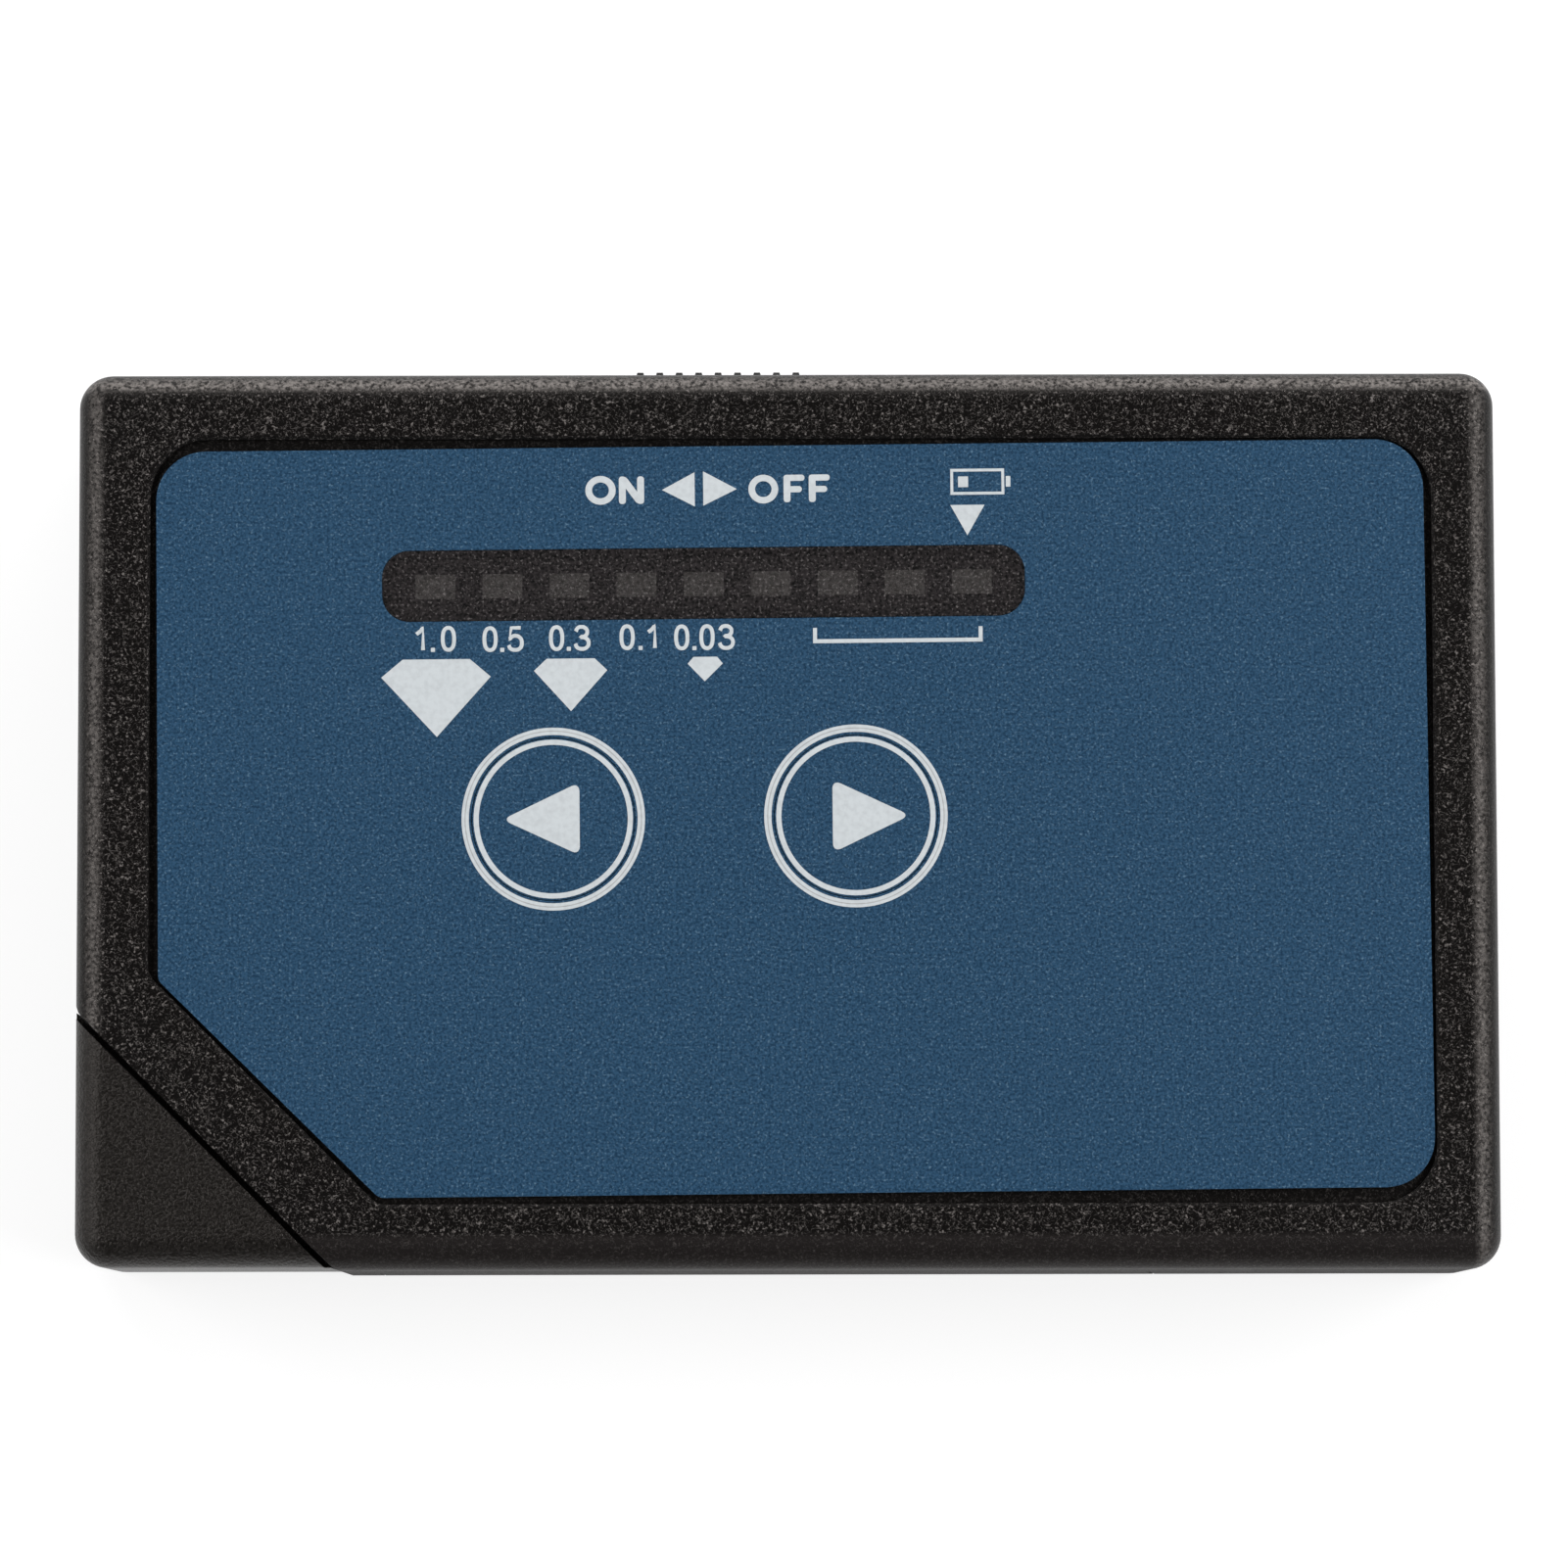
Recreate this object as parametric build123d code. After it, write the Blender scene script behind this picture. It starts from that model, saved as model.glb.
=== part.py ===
from build123d import *
import math
import os

# Pocket thermal diamond tester, in millimetres.
# It lies on its rear face. +X runs along the longer side, +Y points to the slide
# switch and +Z points out of the front face. The origin is the middle of the rear face.

# Case walls and edges; its overall size follows from what it holds
case_corner_radius = 2.2
front_edge_radius = 2.0
rear_edge_radius = 1.0
side_wall = 1.6
front_wall = 1.6
rear_wall = 1.6
least_corner_radius = 0.7
overrun = 1.0

# Joint between the two shells
parting_groove_width = 0.25
parting_groove_depth = 0.3
lip_height = 0.9
lip_thickness = 0.7
lip_clearance = 0.1

# Corner that the probe cap closes
corner_cut_leg = 16.95
seam_gap = 0.4
seam_groove_depth = 2.2
seam_fit = 0.12
seam_nick_leg = 0.3
cap_wall = 1.3
cap_side_step = 0.25
plug_depth = 3.0
plug_clearance = 0.12

# Recess for the face overlay
recess_border_x = 4.5
recess_border_y = 4.35
recess_centre_x = 0.28
recess_centre_y = -0.07
recess_depth = 0.6
recess_corner_radius = 3.8
recess_cut_leg = 14.85
recess_cut_radius = 1.3
recess_rim_bevel = 0.2

# Face overlay, stuck on a little crooked
overlay_gap_x = 0.45
overlay_gap_y = 0.55
overlay_skew = 0.5
overlay_shift_x = 0.12
overlay_shift_y = 0.1
overlay_thickness = 0.35
overlay_corner_radius = 3.2
overlay_cut_leg = 14.2
overlay_cut_radius = 0.8
adhesive_thickness = 0.1

# Indicator window and its lights, across placed from the overlay's middle
window_end_margin = 2.11
window_side_margin = 1.5
window_corner_radius = 1.75
window_centre_x = -5.66
window_row_share = 0.6303
window_clearance = 0.03
window_ledge = 0.6
led_count = 9
led_pitch = 4.36
led_length = 2.6
led_width = 1.6
led_drop = 0.1
led_base_margin = 0.35
led_base_height = 1.0
led_opening_clearance = 0.12

# Arrow keys, across placed from the overlay's middle
key_spacing = 19.6
key_middle_x = -5.74
key_bay_gap = 4.32
key_face_radius = 5.26
key_face_clearance = 0.06
key_travel = 0.3
key_well_margin = 0.25
key_well_spare = 0.2
key_head_margin = 0.45
key_head_thickness = 0.5
key_shaft_radius = 2.0
key_shaft_clearance = 0.08
tact_side = 4.5
tact_height = 1.6
tact_stem_radius = 1.1
tact_stem_rise = 0.4
tact_stem_depth = 0.8
tact_stem_clearance = 0.05
tact_spare_travel = 0.15

# Main board
board_drop = 2.8
board_thickness = 1.0
board_height = 30.2
board_boss_gap = 0.9
board_top_gap = 0.45
board_bay_gap = 1.15
board_corner_radius = 1.0
board_screw_side_inset = 3.8
board_screw_low_inset = 8.2
board_screw_high_inset = 4.0
board_boss_radius = 2.2
board_screw_radius = 0.85
board_screw_length = 4.2
board_head_radius = 1.6
board_head_height = 1.0
board_hole_clearance = 0.15

# Parts on the board
driver_chip_length = 10.0
driver_chip_width = 4.0
amplifier_chip_length = 5.0
amplifier_chip_width = 4.0
amplifier_chip_inset = 12.8
chip_row_drop = 7.2
chip_height = 1.6
chip_stand_off = 0.15
chip_leg_pitch = 1.27
chip_leg_width = 0.4
chip_leg_reach = 1.0
chip_leg_thickness = 0.2
chip_edge_bevel = 0.25
capacitor_radius = 2.5
capacitor_length = 7.0
capacitor_side_inset = 18.8
capacitor_high_inset = 7.0
capacitor_edge = 0.4
trimmer_side = 6.0
trimmer_height = 3.6
trimmer_side_inset = 13.8
trimmer_drop = 10.0
trimmer_screw_radius = 1.1
trimmer_screw_rise = 0.4
trimmer_slot_width = 0.4
header_depth = 3.6
header_height = 4.0
header_margin = 1.4
header_set_in = 0.2

# Slide switch in the upper side wall
switch_centre_x = -5.73
switch_travel = 2.5
switch_body_length = 9.0
switch_body_depth = 3.6
switch_body_height = 4.0
switch_lever_size = 1.6
switch_lever_root = 1.6
switch_clearance = 0.1
knob_length = 11.8
knob_height = 5.0
knob_recess_depth = 0.8
knob_recess_clearance = 0.2
knob_proud = 0.25
knob_edge_bevel = 0.15
rib_count = 9
rib_pitch = 1.28
rib_base = 0.8
rib_crest = 0.4
rib_rise = 0.45
rib_root = 0.3
neck_length = 2.8
neck_height = 2.6
neck_clearance = 0.15

# Battery cells and their bay, two cells side by side
cell_length = 44.5
cell_radius = 5.25
cell_nub_radius = 1.9
cell_nub_length = 1.0
cell_edge_radius = 0.4
cell_gap = 0.7
cell_clearance = 0.25
corner_bay_gap = 2.0
side_room = 20.6
bay_wall = 1.2
bay_roof = 0.9
bay_roof_gap = 0.5
contact_thickness = 0.4
contact_side = 8.0
contact_tag_width = 2.0
contact_tag_reach = 1.2
contact_tag_clearance = 0.1
contact_spring_length = 3.4
contact_wire = 0.4
contact_coil_base = 3.6
contact_coil_crest = 2.2
contact_coil_turns = 2.5

# Battery door, which slides off towards -Y
door_thickness = 1.4
door_clearance = 0.12
door_lip_thickness = 1.2
door_lip_gap = 0.1
door_lip_slant = 0.9
door_tongue_width = 0.7
door_tongue_low = 0.7
door_tongue_thickness = 0.6
grip_count = 6
grip_pitch = 1.4
grip_length = 12.0
grip_width = 0.6
grip_depth = 0.35
grip_margin = 3.2

# Case screws, driven from the rear
case_screw_inset = 4.7
seam_screw_rise = 4.0
case_screw_radius = 1.0
case_screw_length = 9.0
case_screw_clearance = 0.15
thread_clearance = 0.03
case_head_radius = 1.9
case_head_height = 1.3
case_head_clearance = 0.25
case_head_depth = 1.7
case_boss_radius = 2.6
boss_joint_gap = 0.1
cross_slot_width = 0.5
cross_slot_depth = 0.6
screw_point_length = 0.7
screw_head_edge = 0.35

# Buzzer
buzzer_side_gap = 3.4
buzzer_low_gap = 4.95
buzzer_radius = 6.0
buzzer_height = 4.5
buzzer_edge = 0.4
buzzer_clearance = 0.1
buzzer_ring_wall = 0.9
buzzer_ring_height = 2.5
buzzer_port_radius = 1.0
buzzer_port_depth = 0.8
buzzer_tab_width = 5.0
buzzer_tab_reach = 0.7
buzzer_tab_height = 1.5
sound_hole_radius = 0.6
sound_hole_circle = 2.4
sound_hole_count = 6

# Probe, on the diagonal through the cut corner
holder_neck_width = 12.0
holder_neck_height = 8.4
holder_neck_clearance = 0.05
holder_flange_margin = 1.2
holder_flange_thickness = 1.4
nozzle_radius = 2.0
nozzle_clearance = 0.05
nozzle_cone_length = 2.6
nozzle_crest_radius = 1.1
nozzle_chamber_radius = 1.5
nozzle_chamber_front = 2.2
tip_radius = 0.55
tip_clearance = 0.05
tip_reach = 4.6
tip_tail = 3.0
tip_press_travel = 1.0
tip_spare_room = 1.75
collar_radius = 1.4
collar_thickness = 0.8
collar_clearance = 0.05
heater_radius = 0.8
heater_length = 2.4
end_plug_length = 1.2
end_plug_clearance = 0.03
probe_wire = 0.25
probe_coil_radius = 1.12
probe_coil_turns = 5.5
coil_bend_share = 1.2

# Leads
lead_radius = 0.35
lead_pitch = 2.0
battery_lead_turn = 4.4
probe_lead_turn = 2.27
probe_lead_spread = 0.75
buzzer_lead_rise = 1.2
bend_share = 0.45

# Battery bay: length between its end walls, depth along Y and level of its ceiling
bay_length = 2 * contact_thickness + contact_spring_length + cell_length
bay_depth = 4 * cell_radius + cell_gap + 2 * cell_clearance
cell_z = door_thickness + cell_clearance + cell_radius
bay_ceiling = cell_z + cell_radius + cell_clearance

# Overall size of the case: 92.25 by 58.4 by 16.0
case_width = corner_cut_leg + corner_bay_gap + bay_length + 2 * bay_wall + side_room + side_wall
case_height = bay_depth + bay_wall + board_bay_gap + board_height + board_top_gap + 2 * side_wall
case_thickness = bay_ceiling + bay_roof + bay_roof_gap + front_wall + recess_depth
half_width = case_width / 2
half_height = case_height / 2

# Levels, from the front face inwards
recess_floor = case_thickness - recess_depth
front_inner = recess_floor - front_wall
overlay_low = recess_floor + adhesive_thickness
overlay_top = overlay_low + overlay_thickness
key_well_floor = overlay_low - key_head_thickness - key_travel - key_well_spare
board_top = front_inner - board_drop
board_low = board_top - board_thickness
parting_height = board_low - switch_body_height / 2
case_screw_seat = case_head_depth + case_head_height

# Places of the bay and of what lies in it and beside it
bay_low_y = -half_height + side_wall
bay_high_y = bay_low_y + bay_depth
lower_cell_y = bay_low_y + cell_clearance + cell_radius
upper_cell_y = bay_high_y - cell_clearance - cell_radius
bay_left_x = -half_width + corner_cut_leg + corner_bay_gap + bay_wall
bay_right_x = bay_left_x + bay_length
door_left_x = bay_left_x - door_tongue_width
door_right_x = bay_right_x + door_tongue_width
buzzer_x = half_width - side_wall - buzzer_side_gap - buzzer_radius
buzzer_y = bay_low_y + buzzer_low_gap + buzzer_radius
buzzer_tab_y = buzzer_y + buzzer_radius + buzzer_tab_reach

# The overlay's own place on the case, and its rows
recess_width = case_width - 2 * recess_border_x
recess_height = case_height - 2 * recess_border_y
overlay_width = recess_width - 2 * overlay_gap_x
overlay_height = recess_height - 2 * overlay_gap_y
overlay_x = recess_centre_x + overlay_shift_x
overlay_y = recess_centre_y + overlay_shift_y
overlay_place = Pos(overlay_x, overlay_y, 0) * Rot(0, 0, overlay_skew)
window_length = led_pitch * (led_count - 1) + led_length + 2 * window_end_margin
window_height = led_width + 2 * window_side_margin
key_row_y = bay_high_y + bay_wall + key_bay_gap - overlay_y
window_centre_y = key_row_y + window_row_share * (overlay_height / 2 - key_row_y)
key_well_radius = key_face_radius + key_face_clearance + key_well_margin

# The board's edges and what stands on it or hangs under it
board_high_y = half_height - side_wall - board_top_gap
board_low_y = board_high_y - board_height
board_half_width = half_width - case_screw_inset - case_boss_radius - board_boss_gap
board_screw_x = board_half_width - board_screw_side_inset
driver_chip_x = overlay_x + key_middle_x
amplifier_chip_x = -board_half_width + amplifier_chip_inset
chip_row_y = overlay_y + window_centre_y - chip_row_drop
capacitor_x = board_half_width - capacitor_side_inset
capacitor_y = board_high_y - capacitor_high_inset
trimmer_x = board_half_width - trimmer_side_inset
trimmer_y = capacitor_y - trimmer_drop
header_front_y = board_low_y + header_set_in
switch_rest_x = switch_centre_x + switch_travel / 2
lever_tip_y = half_height - knob_recess_depth / 2

# The probe's axis: local Z runs outward through the cut corner, local Y is up
outward = Vector(-1, -1, 0).normalized()
cut_distance = corner_cut_leg / math.sqrt(2)
case_corner = Vector(-half_width, -half_height, 0)
probe_origin = case_corner - outward * cut_distance + Vector(0, 0, parting_height)
probe_plane = Plane(origin=probe_origin, x_dir=(1, -1, 0), z_dir=outward)
collar_front = nozzle_chamber_front - collar_clearance
tip_tail_end = collar_front - collar_thickness - tip_tail
nozzle_rear = tip_tail_end - tip_press_travel - tip_spare_room - end_plug_length

# Columns that the leads run in
positive_lead_x = bay_right_x + bay_wall + contact_tag_reach + battery_lead_turn
negative_lead_x = positive_lead_x + lead_pitch
buzzer_lead_x = buzzer_x - lead_pitch / 2
probe_lead_x = (probe_origin + outward * nozzle_rear).X + probe_lead_turn


def block(x_span, y_span, z_span):
    """Box between the low and high value of each span."""
    spans = (x_span, y_span, z_span)
    sizes = [high - low for low, high in spans]
    middles = [(low + high) / 2 for low, high in spans]
    return Pos(*middles) * Box(*sizes)


def around(middle, size):
    """Span of the given size about a middle value."""
    return (middle - size / 2, middle + size / 2)


def post(x, y, z_span, radius):
    """Upright cylinder between two levels."""
    return Pos(x, y, sum(z_span) / 2) * Cylinder(radius, z_span[1] - z_span[0])


def slab(face, z_span):
    """A plan shape given its thickness between two levels."""
    return Pos(0, 0, z_span[0]) * extrude(face, z_span[1] - z_span[0])


def beyond(distance):
    """Everything farther out along the probe's axis than the given distance."""
    half_space = Box(case_width, case_width, case_width, align=(Align.CENTER, Align.CENTER, Align.MIN))
    return probe_plane * Pos(0, 0, distance) * half_space


def probe_turned(points):
    """Solid of revolution about the probe's axis, from points of radius and distance."""
    profile = make_face(Polyline(*[(radius, 0, distance) for radius, distance in points], close=True))
    return probe_plane * revolve(profile, Axis.Z)


def case_section(inset, z_span):
    """The case's plan shape, drawn in by an inset, between two levels."""
    radius = max(case_corner_radius - inset, least_corner_radius)
    face = RectangleRounded(case_width - 2 * inset, case_height - 2 * inset, radius)
    return slab(face, z_span) - beyond(-inset)


def seam_nick(x, y, angle):
    """Wedge that takes the sharp edge off where the cut wall meets a side wall."""
    depth = seam_nick_leg * math.sin(math.radians(45 / 2))
    height = case_thickness + 2 * overrun
    cutter = Box(seam_nick_leg, 4 * seam_nick_leg, height, align=(Align.MIN, Align.CENTER, Align.MIN))
    return Pos(x, y, -overrun) * Rot(0, 0, angle) * Pos(-depth, 0, 0) * cutter


def rounded_case():
    """The whole outline of the tester as one block with rounded edges."""
    face = RectangleRounded(case_width, case_height, case_corner_radius)
    solid = slab(face, (0, case_thickness))
    solid = fillet(solid.edges().group_by(Axis.Z)[-1], front_edge_radius)
    return fillet(solid.edges().group_by(Axis.Z)[0], rear_edge_radius)


def case_solid():
    """The case without its probe corner, before it is hollowed."""
    solid = rounded_case() - beyond(0)
    solid -= seam_nick(-half_width, -half_height + corner_cut_leg, 180 + 45 / 2)
    solid -= seam_nick(-half_width + corner_cut_leg, -half_height, 270 - 45 / 2)
    return solid


def cut_corner_outline(width, height, corner_radius, cut_leg, cut_radius):
    """Rectangle with round corners and its lower left corner cut off."""
    half_x = width / 2
    half_y = height / 2
    cut_ends = [(-half_x + cut_leg, -half_y), (-half_x, -half_y + cut_leg)]
    corners = [(half_x, -half_y), (half_x, half_y), (-half_x, half_y)]
    face = make_face(Polyline(cut_ends[0], *corners, cut_ends[1], close=True))
    for point, radius in [(p, cut_radius) for p in cut_ends] + [(p, corner_radius) for p in corners]:
        nearest = face.vertices().sort_by_distance((*point, 0))[0]
        face = fillet(nearest, radius)
    return face


def recess_cutter():
    """Pocket for the overlay, with a small bevel round its rim."""
    centre = Pos(recess_centre_x, recess_centre_y, 0)
    face = cut_corner_outline(
        recess_width, recess_height, recess_corner_radius, recess_cut_leg, recess_cut_radius
    )
    pocket = slab(face, (recess_floor, case_thickness + overrun))
    rim_low = case_thickness - recess_rim_bevel
    wide = offset(face, recess_rim_bevel + overrun)
    bevel = Pos(0, 0, rim_low) * loft([face, Pos(0, 0, recess_rim_bevel + overrun) * wide])
    return centre * (pocket + bevel)


def overlay_outline():
    """Plan shape of the overlay about its own middle."""
    return cut_corner_outline(
        overlay_width, overlay_height, overlay_corner_radius, overlay_cut_leg, overlay_cut_radius
    )


def window_outline(margin):
    """Plan shape of the indicator window, grown by a margin, on the overlay."""
    radius = window_corner_radius + margin
    face = RectangleRounded(window_length + 2 * margin, window_height + 2 * margin, radius)
    return Pos(window_centre_x, window_centre_y, 0) * face


def on_overlay(x, y):
    """Place on the case of a point given from the overlay's middle."""
    place = overlay_place * Pos(x, y, 0)
    return place.position.X, place.position.Y


def led_places():
    """Middles of the indicator lights, from the left."""
    first = window_centre_x - led_pitch * (led_count - 1) / 2
    return [on_overlay(first + led_pitch * index, window_centre_y) for index in range(led_count)]


def key_places():
    """Middles of the left and right arrow keys."""
    sides = {"left": -1, "right": 1}
    return {
        name: on_overlay(key_middle_x + side * key_spacing / 2, key_row_y)
        for name, side in sides.items()
    }


def case_screw_places():
    """Places of the four case screws; the fourth stands clear of the cut corner."""
    x = half_width - case_screw_inset
    y = half_height - case_screw_inset
    seam_y = -half_height + corner_cut_leg + seam_screw_rise
    return [(x, y), (-x, y), (x, -y), (-x, seam_y)]


def board_screw_places():
    """Places of the four screws that hold the main board."""
    rows = (board_low_y + board_screw_low_inset, board_high_y - board_screw_high_inset)
    return [(side * board_screw_x, y) for side in (-1, 1) for y in rows]


def switch_cutter():
    """Recess for the switch knob and the slot behind it, in the upper wall."""
    wall_outer = half_height
    wall_inner = half_height - side_wall
    recess = block(
        around(switch_centre_x, knob_length + switch_travel + 2 * knob_recess_clearance),
        (wall_outer - knob_recess_depth, wall_outer + overrun),
        around(parting_height, knob_height + 2 * knob_recess_clearance),
    )
    slot = block(
        around(switch_centre_x, neck_length + switch_travel + 2 * neck_clearance),
        (wall_inner - overrun, wall_outer),
        around(parting_height, neck_height + 2 * neck_clearance),
    )
    return recess + slot


def holder_window():
    """Opening in the cut wall that the probe holder's neck passes through."""
    width = holder_neck_width + 2 * holder_neck_clearance
    height = holder_neck_height + 2 * holder_neck_clearance
    depth = side_wall + 2 * overrun
    return probe_plane * Pos(0, 0, -side_wall / 2) * Box(width, height, depth)


def front_shell():
    """Front half of the case, with the overlay's recess and the screw bosses."""
    everywhere = around(0, 2 * case_width)
    shell = case_solid() & block(everywhere, everywhere, (parting_height, case_thickness))
    low = parting_height - overrun
    shell -= case_section(side_wall, (low, front_inner))
    lip_room = side_wall - lip_thickness - lip_clearance
    shell -= case_section(lip_room, (low, parting_height + lip_height + lip_clearance))
    for x, y in case_screw_places():
        shell += post(x, y, (parting_height + boss_joint_gap, recess_floor), case_boss_radius)
    for x, y in board_screw_places():
        shell += post(x, y, (board_top, recess_floor), board_boss_radius)
    shell -= recess_cutter()
    for x, y in led_places():
        opening_x = led_length + 2 * led_opening_clearance
        opening_y = led_width + 2 * led_opening_clearance
        shell -= block(around(x, opening_x), around(y, opening_y), (front_inner - overrun, case_thickness))
    for x, y in key_places().values():
        shell -= post(x, y, (key_well_floor, case_thickness), key_well_radius)
        guide_radius = key_shaft_radius + key_shaft_clearance
        shell -= post(x, y, (front_inner - overrun, case_thickness), guide_radius)
    for x, y in case_screw_places():
        top = case_head_depth + case_screw_length + screw_point_length
        shell -= post(x, y, (low, top), case_screw_radius + thread_clearance)
    for x, y in board_screw_places():
        top = board_low + board_screw_length
        shell -= post(x, y, (board_low, top), board_screw_radius + thread_clearance)
    return shell - switch_cutter() - holder_window()


def bay_tub():
    """Walls and ceiling of the battery bay, standing on the rear wall."""
    low_y = bay_low_y + lip_clearance
    outer = block(
        (bay_left_x - bay_wall, bay_right_x + bay_wall),
        (low_y, bay_high_y + bay_wall),
        (0, bay_ceiling + bay_roof),
    )
    inner = block((bay_left_x, bay_right_x), (low_y - overrun, bay_high_y), (-overrun, bay_ceiling))
    return outer - inner


def tag_slot(y):
    """Slot in the bay's right wall that a contact's tag passes through."""
    return block(
        (bay_right_x - overrun, bay_right_x + bay_wall + overrun),
        around(y, contact_tag_width + 2 * contact_tag_clearance),
        around(cell_z, contact_thickness + 2 * contact_tag_clearance),
    )


def door_cutter():
    """Room for the battery door: the opening, the tongue grooves and the side wall's gap."""
    opening = block(
        (bay_left_x, bay_right_x), (-half_height - overrun, bay_high_y), (-overrun, rear_wall + overrun)
    )
    groove_low = door_tongue_low - door_clearance
    groove_high = door_tongue_low + door_tongue_thickness + door_clearance
    grooves = block(
        (door_left_x - door_clearance, door_right_x + door_clearance),
        (-half_height - overrun, bay_high_y),
        (groove_low, groove_high),
    )
    return opening + grooves + door_lip(door_clearance, parting_height + lip_height + overrun)


def door_lip(margin, top):
    """Upturned edge of the door that closes the lower side wall; its right end is slanted."""
    right = door_right_x + margin
    left = door_left_x - margin
    points = [(left, -margin), (right + door_lip_slant, -margin), (right, top), (left, top)]
    face = Plane.XZ * make_face(Polyline(*points, close=True))
    thickness = door_lip_thickness + 2 * margin
    return Pos(0, -half_height - margin, 0) * extrude(face, -thickness)


def rear_shell():
    """Rear half of the case, with the battery bay and the buzzer's ring."""
    everywhere = around(0, 2 * case_width)
    shell = case_solid() & block(everywhere, everywhere, (0, parting_height))
    shell -= case_section(side_wall, (rear_wall, parting_height + overrun))
    groove_span = (parting_height - parting_groove_width, parting_height)
    groove = block(everywhere, everywhere, groove_span) - case_section(parting_groove_depth, groove_span)
    shell -= groove
    lip_span = (parting_height - lip_height, parting_height + lip_height)
    shell += case_section(side_wall - lip_thickness, lip_span) - case_section(side_wall, lip_span)
    for x, y in case_screw_places():
        shell += post(x, y, (rear_wall / 2, parting_height), case_boss_radius)
    ring_radius = buzzer_radius + buzzer_clearance
    ring_top = rear_wall + buzzer_ring_height
    ring = post(buzzer_x, buzzer_y, (rear_wall / 2, ring_top), ring_radius + buzzer_ring_wall)
    shell += ring - post(buzzer_x, buzzer_y, (rear_wall, ring_top + overrun), ring_radius)
    shell += bay_tub()
    shell -= door_cutter()
    shell -= tag_slot(upper_cell_y)
    shell -= tag_slot(lower_cell_y)
    for x, y in case_screw_places():
        shell -= post(x, y, (-overrun, parting_height + overrun), case_screw_radius + case_screw_clearance)
        shell -= post(x, y, (-overrun, case_screw_seat), case_head_radius + case_head_clearance)
    for x, y in sound_hole_places():
        shell -= post(x, y, (-overrun, rear_wall + overrun), sound_hole_radius)
    return shell - switch_cutter() - holder_window()


def sound_hole_places():
    """A hole under the middle of the buzzer and a ring of holes round it."""
    centre = Pos(buzzer_x, buzzer_y, 0)
    ring = [centre * place for place in PolarLocations(sound_hole_circle, sound_hole_count)]
    return [(place.position.X, place.position.Y) for place in [centre] + ring]


def battery_door():
    """Sliding door: flush plate, side tongues, upturned lip and finger grooves."""
    plate = block(
        (bay_left_x + door_clearance, bay_right_x - door_clearance),
        (-half_height, bay_high_y - door_clearance),
        (0, door_thickness),
    )
    tongues = block(
        (door_left_x, door_right_x),
        (-half_height, bay_high_y - door_clearance),
        (door_tongue_low, door_tongue_low + door_tongue_thickness),
    )
    door = plate + tongues + door_lip(0, parting_height - door_lip_gap)
    door &= rounded_case()
    middle_x = (bay_left_x + bay_right_x) / 2
    for index in range(grip_count):
        y = -half_height + grip_margin + grip_pitch * index
        door -= block(around(middle_x, grip_length), around(y, grip_width), (-overrun, grip_depth))
    return door


def screw(x, y, seat, length, radius, head_radius, head_height):
    """Cross-head screw standing head down, with its head's underside on the seat level."""
    head = post(x, y, (seat - head_height, seat), head_radius)
    head = fillet(head.edges().group_by(Axis.Z)[0], screw_head_edge)
    shank = post(x, y, (seat, seat + length - screw_point_length), radius)
    point = Cone(radius, 0, screw_point_length, align=(Align.CENTER, Align.CENTER, Align.MIN))
    body = head + shank + Pos(x, y, seat + length - screw_point_length) * point
    slot_span = (seat - head_height - overrun, seat - head_height + cross_slot_depth)
    body -= block(around(x, head_radius), around(y, cross_slot_width), slot_span)
    body -= block(around(x, cross_slot_width), around(y, head_radius), slot_span)
    return body


def case_screws():
    """The four screws that hold the two shells together."""
    return Compound(children=[
        screw(x, y, case_screw_seat, case_screw_length - case_head_height, case_screw_radius,
              case_head_radius, case_head_height)
        for x, y in case_screw_places()
    ])


def board_screws():
    """The four screws that hold the main board to the front shell."""
    return Compound(children=[
        screw(x, y, board_low, board_screw_length - board_head_height, board_screw_radius,
              board_head_radius, board_head_height)
        for x, y in board_screw_places()
    ])


def face_overlay():
    """Printed plastic sheet with its window and the two key faces parted from it."""
    span = (overlay_low, overlay_top)
    sheet = slab(overlay_outline() - window_outline(window_clearance), span)
    sheet = overlay_place * sheet
    for x, y in key_places().values():
        sheet -= post(x, y, around(overlay_low, 2 * overrun), key_face_radius + key_face_clearance)
    return sheet


def overlay_adhesive():
    """Adhesive layer under the overlay, open at the window and at the keys."""
    span = (recess_floor, overlay_low)
    layer = overlay_place * slab(overlay_outline() - window_outline(-window_ledge), span)
    for x, y in key_places().values():
        layer -= post(x, y, around(recess_floor, 2 * overrun), key_well_radius)
    return layer


def indicator_window():
    """Smoked strip of the overlay over the indicator lights."""
    return overlay_place * slab(window_outline(0), (overlay_low, overlay_top))


def indicator_led(x, y):
    """Rectangular light that stands on the board and reaches into its opening."""
    top = recess_floor - led_drop
    body = block(around(x, led_length), around(y, led_width), (board_top, top))
    base = block(
        around(x, led_length + 2 * led_base_margin),
        around(y, led_width + 2 * led_base_margin),
        (board_top, board_top + led_base_height),
    )
    return body + base


def key_face(x, y):
    """Round part of the overlay that gives way under a finger."""
    return post(x, y, (overlay_low, overlay_top), key_face_radius)


def key_plunger(x, y):
    """Push piece between a key face and its switch."""
    tact_top = board_top + tact_height + tact_stem_rise
    head_low = overlay_low - key_head_thickness
    shaft = post(x, y, (tact_top, head_low), key_shaft_radius)
    return shaft + post(x, y, (head_low, overlay_low), key_face_radius - key_head_margin)


def tact_switch(x, y):
    """Low push switch with a round well for its stem."""
    body = block(around(x, tact_side), around(y, tact_side), (board_top, board_top + tact_height))
    well_floor = board_top + tact_height - tact_stem_depth - key_travel - tact_spare_travel
    radius = tact_stem_radius + tact_stem_clearance
    return body - post(x, y, (well_floor, board_top + tact_height + overrun), radius)


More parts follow.
